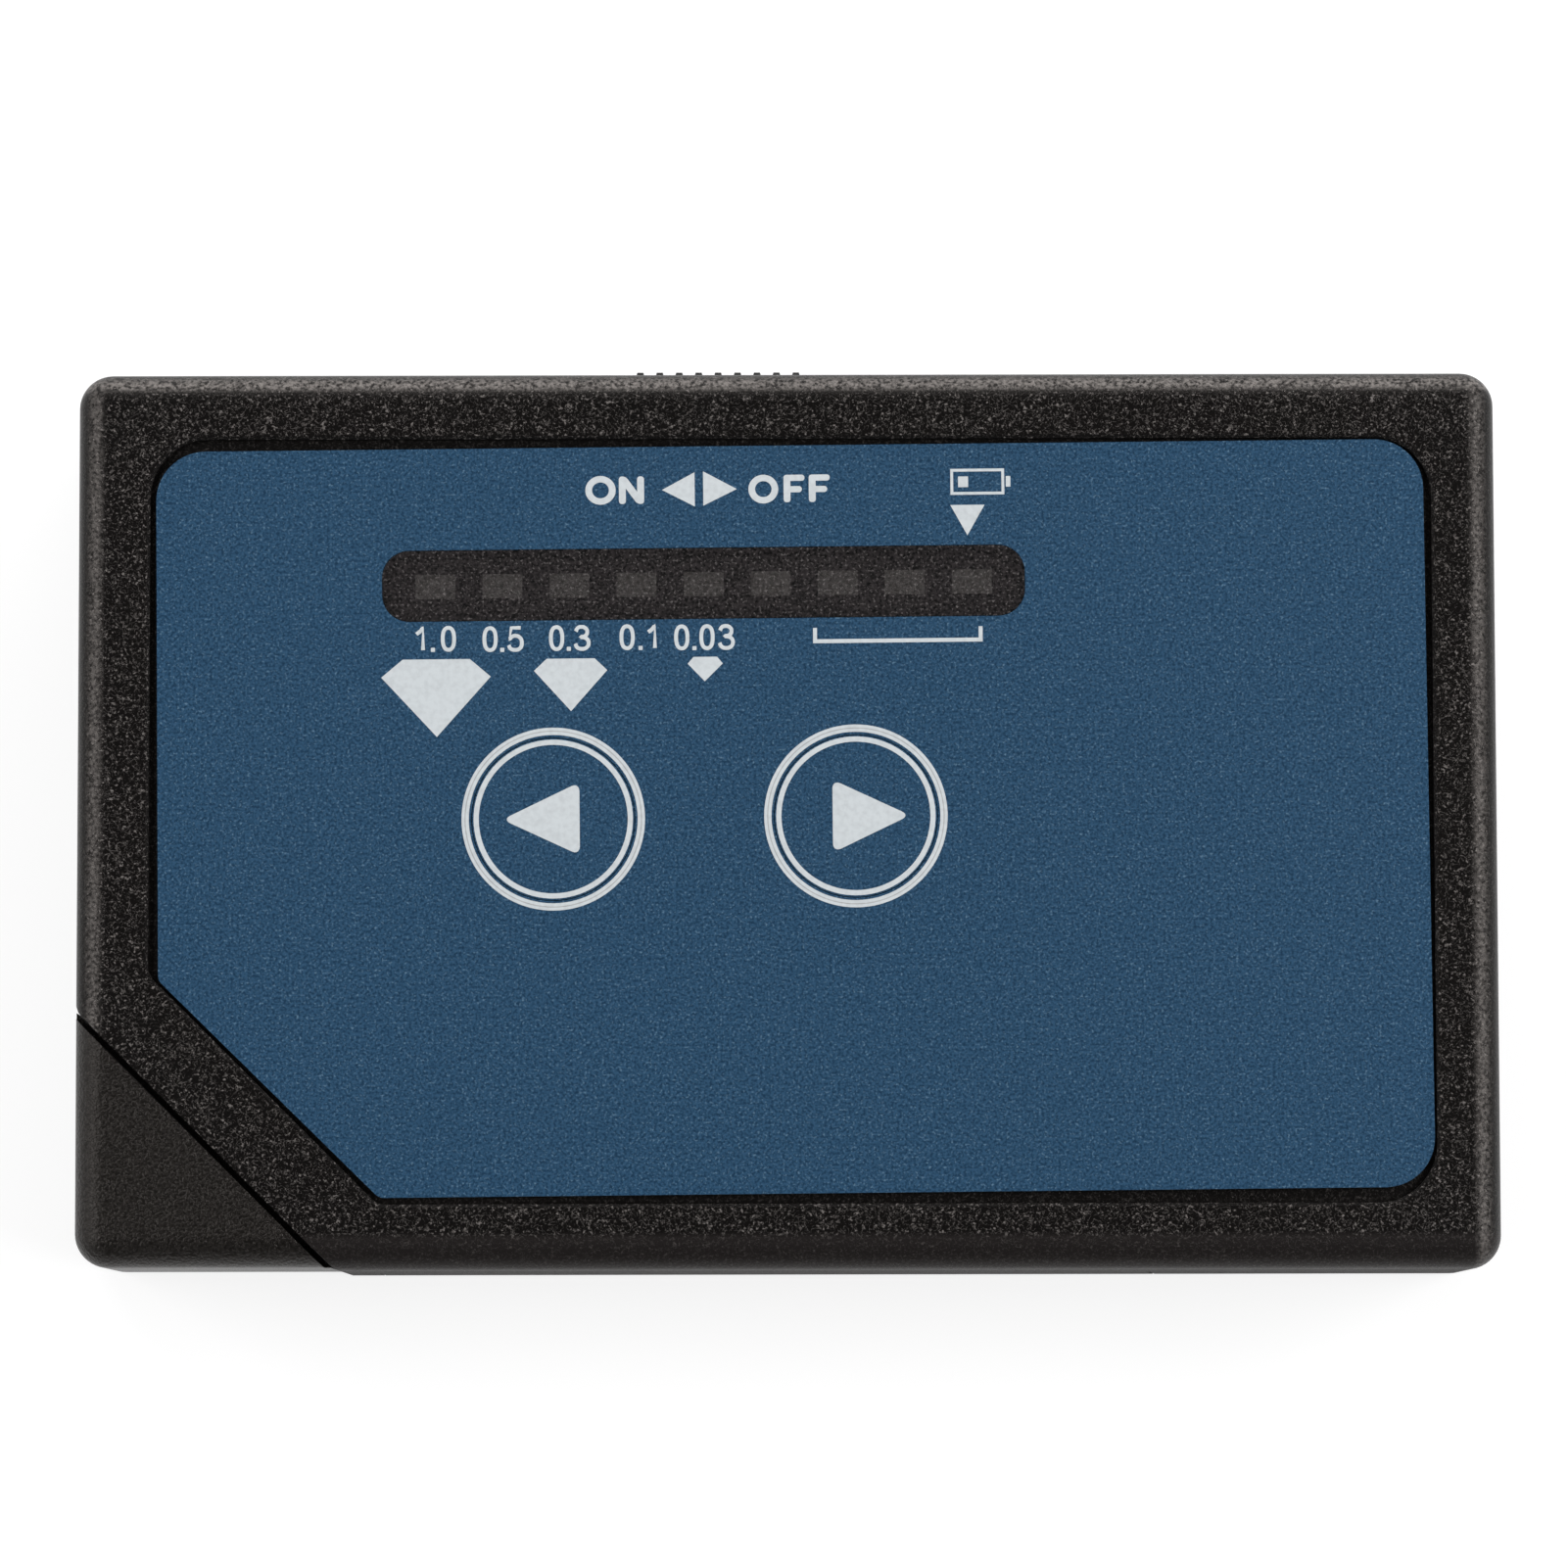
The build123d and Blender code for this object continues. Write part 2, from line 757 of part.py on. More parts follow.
def tact_stem(x, y):
    """Moving stem of a push switch."""
    low = board_top + tact_height - tact_stem_depth
    return post(x, y, (low, board_top + tact_height + tact_stem_rise), tact_stem_radius)


def main_board():
    """Circuit board hung from the front shell."""
    face = RectangleRounded(2 * board_half_width, board_height, board_corner_radius)
    face = Pos(0, board_high_y - board_height / 2, 0) * face
    board = slab(face, (board_low, board_top))
    for x, y in board_screw_places():
        radius = board_screw_radius + board_hole_clearance
        board -= post(x, y, (board_low - overrun, board_top + overrun), radius)
    return board


def chip(x, y, length, width):
    """Small chip with a row of bent legs along each long side."""
    low = board_top + chip_stand_off
    body = block(around(x, length), around(y, width), (low, board_top + chip_height))
    body = chamfer(body.edges().group_by(Axis.Z)[-1], chip_edge_bevel)
    leg_count = int(length / chip_leg_pitch)
    first = x - chip_leg_pitch * (leg_count - 1) / 2
    middle_z = board_top + chip_height / 2
    for index in range(leg_count):
        leg_x = around(first + chip_leg_pitch * index, chip_leg_width)
        for side in (-1, 1):
            edge = y + side * width / 2
            knee = edge + side * chip_leg_reach / 2
            toe = edge + side * chip_leg_reach
            body += block(leg_x, sorted((y, knee)), around(middle_z, chip_leg_thickness))
            riser = sorted((knee, knee - side * chip_leg_thickness))
            body += block(leg_x, riser, (board_top, middle_z))
            body += block(leg_x, sorted((knee, toe)), (board_top, board_top + chip_leg_thickness))
    return body


def filter_capacitor():
    """Can capacitor lying under the board."""
    can = Rot(0, 90, 0) * Cylinder(capacitor_radius, capacitor_length)
    can = fillet(can.edges().filter_by(GeomType.CIRCLE), capacitor_edge)
    return Pos(capacitor_x, capacitor_y, board_low - capacitor_radius) * can


def calibration_trimmer():
    """Trimming resistor under the board, with its slotted rotor."""
    low = board_low - trimmer_height
    body = block(around(trimmer_x, trimmer_side), around(trimmer_y, trimmer_side), (low, board_low))
    body += post(trimmer_x, trimmer_y, (low - trimmer_screw_rise, board_low), trimmer_screw_radius)
    slot_x = around(trimmer_x, 2 * trimmer_screw_radius)
    slot_span = (low - trimmer_screw_rise - overrun, low)
    return body - block(slot_x, around(trimmer_y, trimmer_slot_width), slot_span)


def wire_header(first_x, last_x):
    """Connector block under the board's lower edge."""
    return block(
        (first_x - header_margin, last_x + header_margin),
        (header_front_y, header_front_y + header_depth),
        (board_low - header_height, board_low),
    )


def switch_body():
    """Body of the slide switch, with a slot for its lever."""
    span_y = (board_high_y - switch_body_depth, board_high_y)
    span_z = (board_low - switch_body_height, board_low)
    body = block(around(switch_centre_x, switch_body_length), span_y, span_z)
    slot = block(
        around(switch_centre_x, switch_lever_size + switch_travel + 2 * switch_clearance),
        (board_high_y - switch_lever_root - switch_clearance, board_high_y + overrun),
        around(parting_height, switch_lever_size + 2 * switch_clearance),
    )
    return body - slot


def switch_lever():
    """Actuator that slides in the switch body."""
    return block(
        around(switch_rest_x, switch_lever_size),
        (board_high_y - switch_lever_root, lever_tip_y),
        around(parting_height, switch_lever_size),
    )


def switch_knob():
    """Ribbed knob in the wall's recess, with a neck that grips the lever."""
    x = switch_rest_x
    pad_low = half_height - knob_recess_depth + knob_recess_clearance / 2
    pad_high = half_height + knob_proud
    pad = block(around(x, knob_length), (pad_low, pad_high), around(parting_height, knob_height))
    pad = chamfer(pad.edges().group_by(Axis.Y)[-1], knob_edge_bevel)
    neck_low = half_height - side_wall
    neck = block(around(x, neck_length), (neck_low, pad_high - rib_root), around(parting_height, neck_height))
    knob = pad + neck
    for index in range(rib_count):
        middle = x + rib_pitch * (index - (rib_count - 1) / 2)
        base = pad_high - rib_root
        points = [
            (middle - rib_base / 2, base),
            (middle + rib_base / 2, base),
            (middle + rib_crest / 2, pad_high + rib_rise),
            (middle - rib_crest / 2, pad_high + rib_rise),
        ]
        rib = make_face(Polyline(*points, close=True))
        knob += slab(rib, around(parting_height, knob_height - 2 * knob_edge_bevel))
    socket = block(
        around(x, switch_lever_size + switch_clearance),
        (neck_low - overrun, lever_tip_y + switch_clearance / 2),
        around(parting_height, switch_lever_size + switch_clearance),
    )
    return knob - socket


def cell(y, plus_side):
    """Round cell lying along X; plus_side is 1 where its nub points to +X."""
    can_length = cell_length - cell_nub_length
    can = Rot(0, 90, 0) * Cylinder(cell_radius, can_length)
    can = fillet(can.edges().filter_by(GeomType.CIRCLE), cell_edge_radius)
    nub = Rot(0, 90, 0) * Cylinder(cell_nub_radius, cell_nub_length)
    body = can + Pos((can_length + cell_nub_length) / 2, 0, 0) * nub
    if plus_side < 0:
        body = Rot(0, 0, 180) * body
    spring_side = -plus_side
    middle = (bay_left_x + bay_right_x) / 2 - spring_side * contact_spring_length / 2
    centre = middle - plus_side * cell_nub_length / 2
    return Pos(centre, y, cell_z) * body


def end_contact(y):
    """Sprung brass plate at the bay's right wall, with a tag for its lead."""
    plate = block(
        (bay_right_x - contact_thickness, bay_right_x),
        around(y, contact_side),
        around(cell_z, contact_side),
    )
    tag = block(
        (bay_right_x - contact_thickness, bay_right_x + bay_wall + contact_tag_reach),
        around(y, contact_tag_width),
        around(cell_z, contact_thickness),
    )
    return plate + tag


def bridge_contact():
    """Plate at the bay's left wall that joins the two cells."""
    return block(
        (bay_left_x, bay_left_x + contact_thickness),
        (lower_cell_y - contact_side / 2, upper_cell_y + contact_side / 2),
        around(cell_z, contact_side),
    )


def biarc(start, start_way, end, end_way):
    """Two arcs that leave one point and reach another in the given directions."""
    chord = end - start
    ways = start_way + end_way
    turn = 2 - 2 * start_way.dot(end_way)
    along = chord.dot(ways)
    reach = (-along + math.sqrt(along * along + chord.dot(chord) * turn)) / turn
    first_knee = start + start_way * reach
    last_knee = end - end_way * reach
    middle = (first_knee + last_knee) * 0.5
    middle_way = (last_knee - first_knee).normalized()
    return [
        Edge.make_tangent_arc(start, start_way, middle),
        Edge.make_tangent_arc(middle, middle_way, end),
    ]


def coil(wire, base_radius, crest_radius, length, turns):
    """Compression spring along +Z, from a formula, with short straight ends."""
    quarters = int(4 * turns)
    bend = coil_bend_share * wire
    low = wire + bend
    rise = (length - 2 * low) / quarters
    shrink = (crest_radius - base_radius) / quarters
    quarter = math.pi / 2
    up = Vector(0, 0, 1)

    def place(step):
        radius = base_radius + shrink * step
        angle = quarter * step
        return Vector(radius * math.cos(angle), radius * math.sin(angle), low + rise * step)

    def way(step):
        radius = base_radius + shrink * step
        angle = quarter * step
        inward = Vector(math.cos(angle), math.sin(angle), 0) * (shrink / quarter)
        onward = Vector(-math.sin(angle), math.cos(angle), 0) * radius
        return (inward + onward + up * (rise / quarter)).normalized()

    first = place(0) - way(0) * bend
    foot = Vector(first.X, first.Y, wire)
    last = place(quarters) + way(quarters) * bend
    head = Vector(last.X, last.Y, length - wire)
    edges = [Edge.make_line(foot - up * wire, foot)]
    edges += biarc(foot, up, place(0), way(0))
    for step in range(quarters):
        edges += biarc(place(step), way(step), place(step + 1), way(step + 1))
    edges += biarc(place(quarters), way(quarters), head, up)
    edges.append(Edge.make_line(head, head + up * wire))
    path = Wire(edges)
    section = Plane(origin=foot - up * wire, z_dir=up) * Circle(wire / 2)
    print("coil: least gap to itself", round(least_gap(path, wire), 3))
    return sweep(section, path=path)


def least_gap(path, wire):
    """Smallest distance between stretches of a wound wire that aren't neighbours."""
    count = 240
    points = [path.position_at(index / count) for index in range(count + 1)]
    apart = int(count * 3 * wire / path.length) + 2
    gaps = [
        (points[i] - points[j]).length
        for i in range(count + 1)
        for j in range(i + apart, count + 1)
    ]
    return min(gaps) - wire


def contact_spring(y, side):
    """Conical spring between a contact and a cell's flat end; side is 1 at the right wall."""
    spring = coil(
        contact_wire, contact_coil_base, contact_coil_crest, contact_spring_length, contact_coil_turns
    )
    if side > 0:
        return Pos(bay_right_x - contact_thickness, y, cell_z) * Rot(0, -90, 0) * spring
    return Pos(bay_left_x + contact_thickness, y, cell_z) * Rot(0, 90, 0) * spring


def buzzer():
    """Round sounder with its port facing the holes in the rear wall."""
    body = post(buzzer_x, buzzer_y, (rear_wall, rear_wall + buzzer_height), buzzer_radius)
    body = fillet(body.edges().group_by(Axis.Z)[-1], buzzer_edge)
    tab_high = rear_wall + buzzer_height - buzzer_edge
    body += block(
        around(buzzer_x, buzzer_tab_width),
        (buzzer_y, buzzer_tab_y),
        (tab_high - buzzer_tab_height, tab_high),
    )
    return body - post(buzzer_x, buzzer_y, (0, rear_wall + buzzer_port_depth), buzzer_port_radius)


def cap_section(inset, z_span):
    """The cap's plan shape, drawn in by an inset, as a piece of a larger rounded block."""
    low_x = -half_width + inset
    low_y = -half_height + cap_side_step + inset
    radius = max(case_corner_radius - inset, least_corner_radius)
    width = case_width - 2 * inset
    face = RectangleRounded(width, width, radius)
    return Pos(low_x + width / 2, low_y + width / 2, 0) * slab(face, z_span)


def probe_cap():
    """Hollow corner piece that pulls off along the diagonal to bare the probe."""
    cap = cap_section(0, (0, case_thickness))
    cap = fillet(cap.edges().group_by(Axis.Z)[-1], front_edge_radius)
    cap = fillet(cap.edges().group_by(Axis.Z)[0], rear_edge_radius)
    everywhere = around(0, 2 * case_width)
    front = block(everywhere, everywhere, (case_thickness - seam_groove_depth, case_thickness))
    cap &= beyond(seam_fit)
    cap -= front - beyond(seam_gap)
    cap -= cap_section(cap_wall, (cap_wall, case_thickness - cap_wall))
    return cap


def probe_holder():
    """Moulded block clamped in the cut wall; its plug fits the cap's mouth."""
    margin = cap_wall + plug_clearance
    plug = cap_section(margin, (margin, case_thickness - margin)) & beyond(0)
    plug -= beyond(plug_depth)
    neck = Pos(0, 0, -side_wall / 2) * Box(holder_neck_width, holder_neck_height, side_wall)
    flange_width = holder_neck_width + 2 * holder_flange_margin
    flange_height = holder_neck_height + 2 * holder_flange_margin
    flange_z = -side_wall - holder_flange_thickness / 2
    flange = Pos(0, 0, flange_z) * Box(flange_width, flange_height, holder_flange_thickness)
    bore_length = plug_depth + side_wall + holder_flange_thickness + 2 * overrun
    bore_middle = (plug_depth - side_wall - holder_flange_thickness) / 2
    bore = Pos(0, 0, bore_middle) * Cylinder(nozzle_radius + nozzle_clearance, bore_length)
    return plug + probe_plane * (neck + flange) - probe_plane * bore


def probe_nozzle():
    """Metal barrel with a conical nose; the tip's collar and spring lie in its chamber."""
    nose = plug_depth + nozzle_cone_length
    bore = tip_radius + tip_clearance
    return probe_turned([
        (nozzle_chamber_radius, nozzle_rear),
        (nozzle_radius, nozzle_rear),
        (nozzle_radius, plug_depth),
        (nozzle_crest_radius, nose),
        (bore, nose),
        (bore, nozzle_chamber_front),
        (nozzle_chamber_radius, nozzle_chamber_front),
    ])


def probe_tip():
    """Copper rod with a rounded point and the collar that stops it."""
    shoulder = plug_depth + tip_reach - tip_radius
    rod = probe_turned([
        (0, tip_tail_end),
        (tip_radius, tip_tail_end),
        (tip_radius, collar_front - collar_thickness),
        (collar_radius, collar_front - collar_thickness),
        (collar_radius, collar_front),
        (tip_radius, collar_front),
        (tip_radius, shoulder),
        (0, shoulder),
    ])
    return rod + probe_plane * Pos(0, 0, shoulder) * Sphere(tip_radius)


def probe_heater():
    """Ceramic heating and sensing sleeve on the tail of the tip."""
    return probe_turned([
        (tip_radius, tip_tail_end),
        (heater_radius, tip_tail_end),
        (heater_radius, tip_tail_end + heater_length),
        (tip_radius, tip_tail_end + heater_length),
    ])


def probe_end_plug():
    """Insulator that closes the barrel behind the spring."""
    radius = nozzle_chamber_radius - end_plug_clearance
    front = nozzle_rear + end_plug_length
    return probe_turned([(0, nozzle_rear), (radius, nozzle_rear), (radius, front), (0, front)])


def probe_spring():
    """Spring between the end plug and the tip's collar."""
    low = nozzle_rear + end_plug_length
    length = collar_front - collar_thickness - low
    spring = coil(probe_wire, probe_coil_radius, probe_coil_radius, length, probe_coil_turns)
    return probe_plane * Pos(0, 0, low) * spring


def lead(points):
    """Insulated wire along a route, with each bend as wide as its runs allow."""
    route = [Vector(*point) for point in points]
    radii = []
    for before, here, after in zip(route, route[1:], route[2:]):
        turn = math.radians((here - before).get_angle(after - here))
        run = min((here - before).length, (after - here).length)
        radii.append(bend_share * run / math.tan(turn / 2))
    path = FilletPolyline(*route, radius=radii)
    section = Plane(origin=route[0], z_dir=route[1] - route[0]) * Circle(lead_radius)
    tube = sweep(section, path=path)
    share = tube.volume / (math.pi * lead_radius ** 2 * path.length)
    print("lead: radii", [round(radius, 2) for radius in radii], "volume share", round(share, 4))
    return tube


def battery_lead(y, x):
    """Lead from an end contact's tag to the right wire header."""
    tag_end = bay_right_x + bay_wall + contact_tag_reach
    return lead([(tag_end, y, cell_z), (x, y, cell_z), (x, header_front_y, cell_z)])


def buzzer_lead(x):
    """Lead from the buzzer's tab to the right wire header, with a little slack."""
    start_z = rear_wall + buzzer_height - buzzer_edge - buzzer_tab_height / 2
    end_z = start_z + buzzer_lead_rise
    step = (header_front_y - buzzer_tab_y) / 3
    return lead([
        (x, buzzer_tab_y, start_z),
        (x, buzzer_tab_y + step, start_z),
        (x, buzzer_tab_y + 2 * step, end_z),
        (x, header_front_y, end_z),
    ])


def probe_lead(side):
    """Lead from the probe's end plug to the left wire header."""
    start = (probe_plane * Pos(side * probe_lead_spread, 0, nozzle_rear)).position
    x = probe_lead_x + side * lead_pitch / 2
    knee_y = start.Y + x - start.X
    return lead([(start.X, start.Y, start.Z), (x, knee_y, start.Z), (x, header_front_y, start.Z)])


def parts():
    """Every node of the tester by name."""
    nodes = {
        "front_shell": front_shell(),
        "rear_shell": rear_shell(),
        "battery_door": battery_door(),
        "face_overlay": face_overlay(),
        "overlay_adhesive": overlay_adhesive(),
        "indicator_window": indicator_window(),
        "main_board": main_board(),
        "driver_chip": chip(driver_chip_x, chip_row_y, driver_chip_length, driver_chip_width),
        "amplifier_chip": chip(amplifier_chip_x, chip_row_y, amplifier_chip_length, amplifier_chip_width),
        "filter_capacitor": filter_capacitor(),
        "calibration_trimmer": calibration_trimmer(),
        "right_wire_header": wire_header(positive_lead_x, buzzer_lead_x + lead_pitch),
        "left_wire_header": wire_header(probe_lead_x - lead_pitch / 2, probe_lead_x + lead_pitch / 2),
        "switch_body": switch_body(),
        "switch_lever": switch_lever(),
        "switch_knob": switch_knob(),
        "buzzer": buzzer(),
        "upper_cell": cell(upper_cell_y, 1),
        "lower_cell": cell(lower_cell_y, -1),
        "positive_contact": end_contact(upper_cell_y),
        "negative_contact": end_contact(lower_cell_y),
        "bridge_contact": bridge_contact(),
        "upper_contact_spring": contact_spring(upper_cell_y, -1),
        "lower_contact_spring": contact_spring(lower_cell_y, 1),
        "case_screws": case_screws(),
        "board_screws": board_screws(),
        "probe_cap": probe_cap(),
        "probe_holder": probe_holder(),
        "probe_nozzle": probe_nozzle(),
        "probe_tip": probe_tip(),
        "probe_heater": probe_heater(),
        "probe_end_plug": probe_end_plug(),
        "probe_spring": probe_spring(),
        "positive_lead": battery_lead(upper_cell_y, positive_lead_x),
        "negative_lead": battery_lead(lower_cell_y, negative_lead_x),
        "left_buzzer_lead": buzzer_lead(buzzer_lead_x),
        "right_buzzer_lead": buzzer_lead(buzzer_lead_x + lead_pitch),
        "left_probe_lead": probe_lead(-1),
        "right_probe_lead": probe_lead(1),
    }
    for index, (x, y) in enumerate(led_places(), start=1):
        nodes[f"indicator_led_{index}"] = indicator_led(x, y)
    for name, (x, y) in key_places().items():
        nodes[f"{name}_key_face"] = key_face(x, y)
        nodes[f"{name}_key_plunger"] = key_plunger(x, y)
        nodes[f"{name}_tact_switch"] = tact_switch(x, y)
        nodes[f"{name}_tact_stem"] = tact_stem(x, y)
    return nodes


os.makedirs("parts", exist_ok=True)
for node_name, shape in parts().items():
    export_step(shape, f"parts/{node_name}.step")
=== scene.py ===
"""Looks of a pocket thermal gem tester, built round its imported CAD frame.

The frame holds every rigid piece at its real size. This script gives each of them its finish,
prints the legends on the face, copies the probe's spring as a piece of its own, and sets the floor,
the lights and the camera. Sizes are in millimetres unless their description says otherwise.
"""

import logging
import math
from dataclasses import dataclass
from enum import Enum

import bmesh
import bpy
from mathutils import Matrix, Vector


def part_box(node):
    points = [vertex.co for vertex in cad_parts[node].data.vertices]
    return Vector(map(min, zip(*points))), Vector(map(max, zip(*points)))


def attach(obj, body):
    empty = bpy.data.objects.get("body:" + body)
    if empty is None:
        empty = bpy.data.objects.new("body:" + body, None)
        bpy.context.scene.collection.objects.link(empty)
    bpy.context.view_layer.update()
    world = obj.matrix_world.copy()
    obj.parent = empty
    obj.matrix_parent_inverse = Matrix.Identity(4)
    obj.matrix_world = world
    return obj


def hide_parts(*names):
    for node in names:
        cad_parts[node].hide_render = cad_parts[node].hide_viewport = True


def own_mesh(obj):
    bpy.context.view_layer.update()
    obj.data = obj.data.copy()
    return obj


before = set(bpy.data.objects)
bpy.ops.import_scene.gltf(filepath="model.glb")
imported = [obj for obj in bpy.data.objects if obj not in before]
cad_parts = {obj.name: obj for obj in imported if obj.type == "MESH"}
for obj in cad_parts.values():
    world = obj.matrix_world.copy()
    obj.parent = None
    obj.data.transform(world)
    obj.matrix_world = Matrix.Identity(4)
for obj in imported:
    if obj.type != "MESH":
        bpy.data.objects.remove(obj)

MM = 0.001
LOG = logging.getLogger("tester")
# Vertices closer together than this are one.
MERGE_DISTANCE = 1e-4
# Colour sockets of a mix node, by number, because its other sockets carry the same names.
MIX_GROUND = 6
MIX_COAT = 7
MIX_RESULT = 2

Colour = tuple[float, float, float]
Point = tuple[float, float]
Socket = bpy.types.NodeSocket
Piece = bpy.types.Object
Shape = bmesh.types.BMesh


def grey(level: float) -> Colour:
    """Return a neutral colour of one level."""
    return (level, level, level)


@dataclass(frozen=True)
class Grain:
    """Noise that marks a surface.

    Attributes:
        size: Size of its features.
        detail: Levels of finer noise in it.
        pull: How far the noise is pulled about.
        low: Level of the noise that counts as 0.
        high: Level of the noise that counts as 1.
    """

    size: float
    detail: float = 2.0
    pull: float = 0.0
    low: float = 0.0
    high: float = 1.0


class Recipe:
    """A material's node tree, built one node at a time by methods that pass sockets on."""

    def __init__(self, name: str) -> None:
        """Start an empty material of the given name, with an output and a shader."""
        self.material = bpy.data.materials.new(name)
        self.material.use_nodes = True
        self.tree = self.material.node_tree
        self.tree.nodes.clear()
        self.shader = self.add("ShaderNodeBsdfPrincipled")
        output = self.add("ShaderNodeOutputMaterial")
        self.feed(output.inputs["Surface"], self.shader.outputs["BSDF"])
        self.place = self.add("ShaderNodeTexCoord").outputs["Object"]

    def add(self, kind: str, **settings: object) -> bpy.types.Node:
        """Add a node and set its plain properties.

        Args:
            kind: Blender's name of the node type.
            settings: Properties of the node, by name.

        Returns:
            The new node.
        """
        node = self.tree.nodes.new(kind)
        for key, value in settings.items():
            setattr(node, key, value)
        return node

    def feed(self, target: Socket, value: Socket | float | tuple[float, ...]) -> None:
        """Give an input its value.

        Args:
            target: The input.
            value: Output that is linked to it, or the plain value that it holds.
        """
        if isinstance(value, Socket):
            self.tree.links.new(value, target)
        else:
            target.default_value = value

    def surface(
        self, roughness: float, metallic: float = 0.0, specular: float = 0.5, tint: Colour = grey(1)
    ) -> None:
        """Set the shader's own plain values.

        Args:
            roughness: Roughness of the surface.
            metallic: 1 for a bare metal.
            specular: Specular level; 0.5 is ordinary plastic.
            tint: Tint of the gloss.
        """
        self.shader.inputs["Roughness"].default_value = roughness
        self.shader.inputs["Metallic"].default_value = metallic
        self.shader.inputs["Specular IOR Level"].default_value = specular
        self.shader.inputs["Specular Tint"].default_value = (*tint, 1)

    def noise(self, grain: Grain) -> Socket:
        """Return noise with the given features, not stretched between its two levels."""
        node = self.add("ShaderNodeTexNoise")
        node.inputs["Scale"].default_value = 1 / (grain.size * MM)
        node.inputs["Detail"].default_value = grain.detail
        node.inputs["Distortion"].default_value = grain.pull
        self.feed(node.inputs["Vector"], self.place)
        return node.outputs["Fac"]

    def ramp(self, value: Socket, low: float, high: float) -> Socket:
        """Stretch the part of a value between two levels to 0 to 1.

        Args:
            value: The value.
            low: Level that becomes 0.
            high: Level that becomes 1.

        Returns:
            The stretched value.
        """
        node = self.add("ShaderNodeMapRange", clamp=True)
        node.inputs["From Min"].default_value = low
        node.inputs["From Max"].default_value = high
        self.feed(node.inputs["Value"], value)
        return node.outputs["Result"]

    def pattern(self, grain: Grain) -> Socket:
        """Return noise stretched between its grain's two levels."""
        return self.ramp(self.noise(grain), grain.low, grain.high)

    def compute(self, operation: str, *values: Socket | float) -> Socket:
        """Work out a value.

        Args:
            operation: Blender's name of the operation.
            values: Outputs and plain numbers that it takes.

        Returns:
            The result.
        """
        node = self.add("ShaderNodeMath", operation=operation)
        for target, value in zip(node.inputs, values):
            self.feed(target, value)
        return node.outputs["Value"]

    def coordinates(self) -> list[Socket]:
        """Return the object's own coordinates along X, Y and Z, in metres."""
        node = self.add("ShaderNodeSeparateXYZ")
        self.feed(node.inputs["Vector"], self.place)
        return list(node.outputs)

    def band(self, place: Socket, low: float, high: float, soft: float) -> Socket:
        """Soft-edged band along a coordinate.

        Args:
            place: The coordinate, in metres.
            low: Where the band starts, in metres.
            high: Where it ends, in metres.
            soft: Width of its soft edges.

        Returns:
            A value that is 1 inside the band and 0 outside it.
        """
        reach = soft * MM / 2
        rise = self.ramp(place, low - reach, low + reach)
        fall = self.ramp(place, high + reach, high - reach)
        return self.compute("MULTIPLY", rise, fall)

    def paint(self, ground: Colour, *coats: tuple[Socket, Colour]) -> None:
        """Colour the surface with coats over a ground.

        Args:
            ground: Colour of the ground.
            coats: For each coat its share of the surface, from 0 to 1, and its colour.
        """
        below = (*ground, 1)
        for share, colour in coats:
            node = self.add("ShaderNodeMix", data_type="RGBA")
            self.feed(node.inputs["Factor"], share)
            self.feed(node.inputs[MIX_GROUND], below)
            self.feed(node.inputs[MIX_COAT], (*colour, 1))
            below = node.outputs[MIX_RESULT]
        self.feed(self.shader.inputs["Base Color"], below)

    def bump(self, value: Socket, height: float) -> None:
        """Raise the surface by a value, on top of any bump that it has already.

        Args:
            value: Share of the height, from 0 to 1.
            height: Height that 1 stands for.
        """
        node = self.add("ShaderNodeBump")
        node.inputs["Distance"].default_value = height * MM
        self.feed(node.inputs["Height"], value)
        earlier = self.shader.inputs["Normal"].links
        if earlier:
            self.feed(node.inputs["Normal"], earlier[0].from_socket)
        self.feed(self.shader.inputs["Normal"], node.outputs["Normal"])


@dataclass(frozen=True)
class Look:
    """Look that a piece can take.

    Attributes:
        name: Name of its material.
    """

    name: str

    def build(self) -> bpy.types.Material:
        """Return the finished material."""
        recipe = Recipe(self.name)
        self.fill(recipe)
        return recipe.material

    def fill(self, recipe: Recipe) -> None:
        """Add the look's own nodes.

        Args:
            recipe: The material's node tree, which has none of them yet.
        """
        raise NotImplementedError


@dataclass(frozen=True)
class MouldedPlastic(Look):
    """Moulded plastic with a grain from the mould.

    Attributes:
        colour: Colour of the plastic.
        crest_colour: Colour of the crests of the grain, lighter from wear.
        grain: Size of the grain.
        depth: Depth of the grain.
        roughness: Roughness of the surface.
        specular: Specular level.
        tint: Tint of the gloss.
    """

    colour: Colour
    crest_colour: Colour
    grain: float = 0.3
    depth: float = 0.006
    roughness: float = 0.4
    specular: float = 0.5
    tint: Colour = grey(1)

    def fill(self, recipe: Recipe) -> None:
        """Add the grain, and a grain on it that is three times finer and a quarter as deep."""
        recipe.surface(self.roughness, specular=self.specular, tint=self.tint)
        crests = recipe.pattern(Grain(self.grain, detail=1.5, pull=0.3, low=0.4, high=0.7))
        recipe.paint(self.colour, (crests, self.crest_colour))
        recipe.bump(crests, self.depth)
        recipe.bump(recipe.noise(Grain(self.grain / 3)), self.depth / 4)


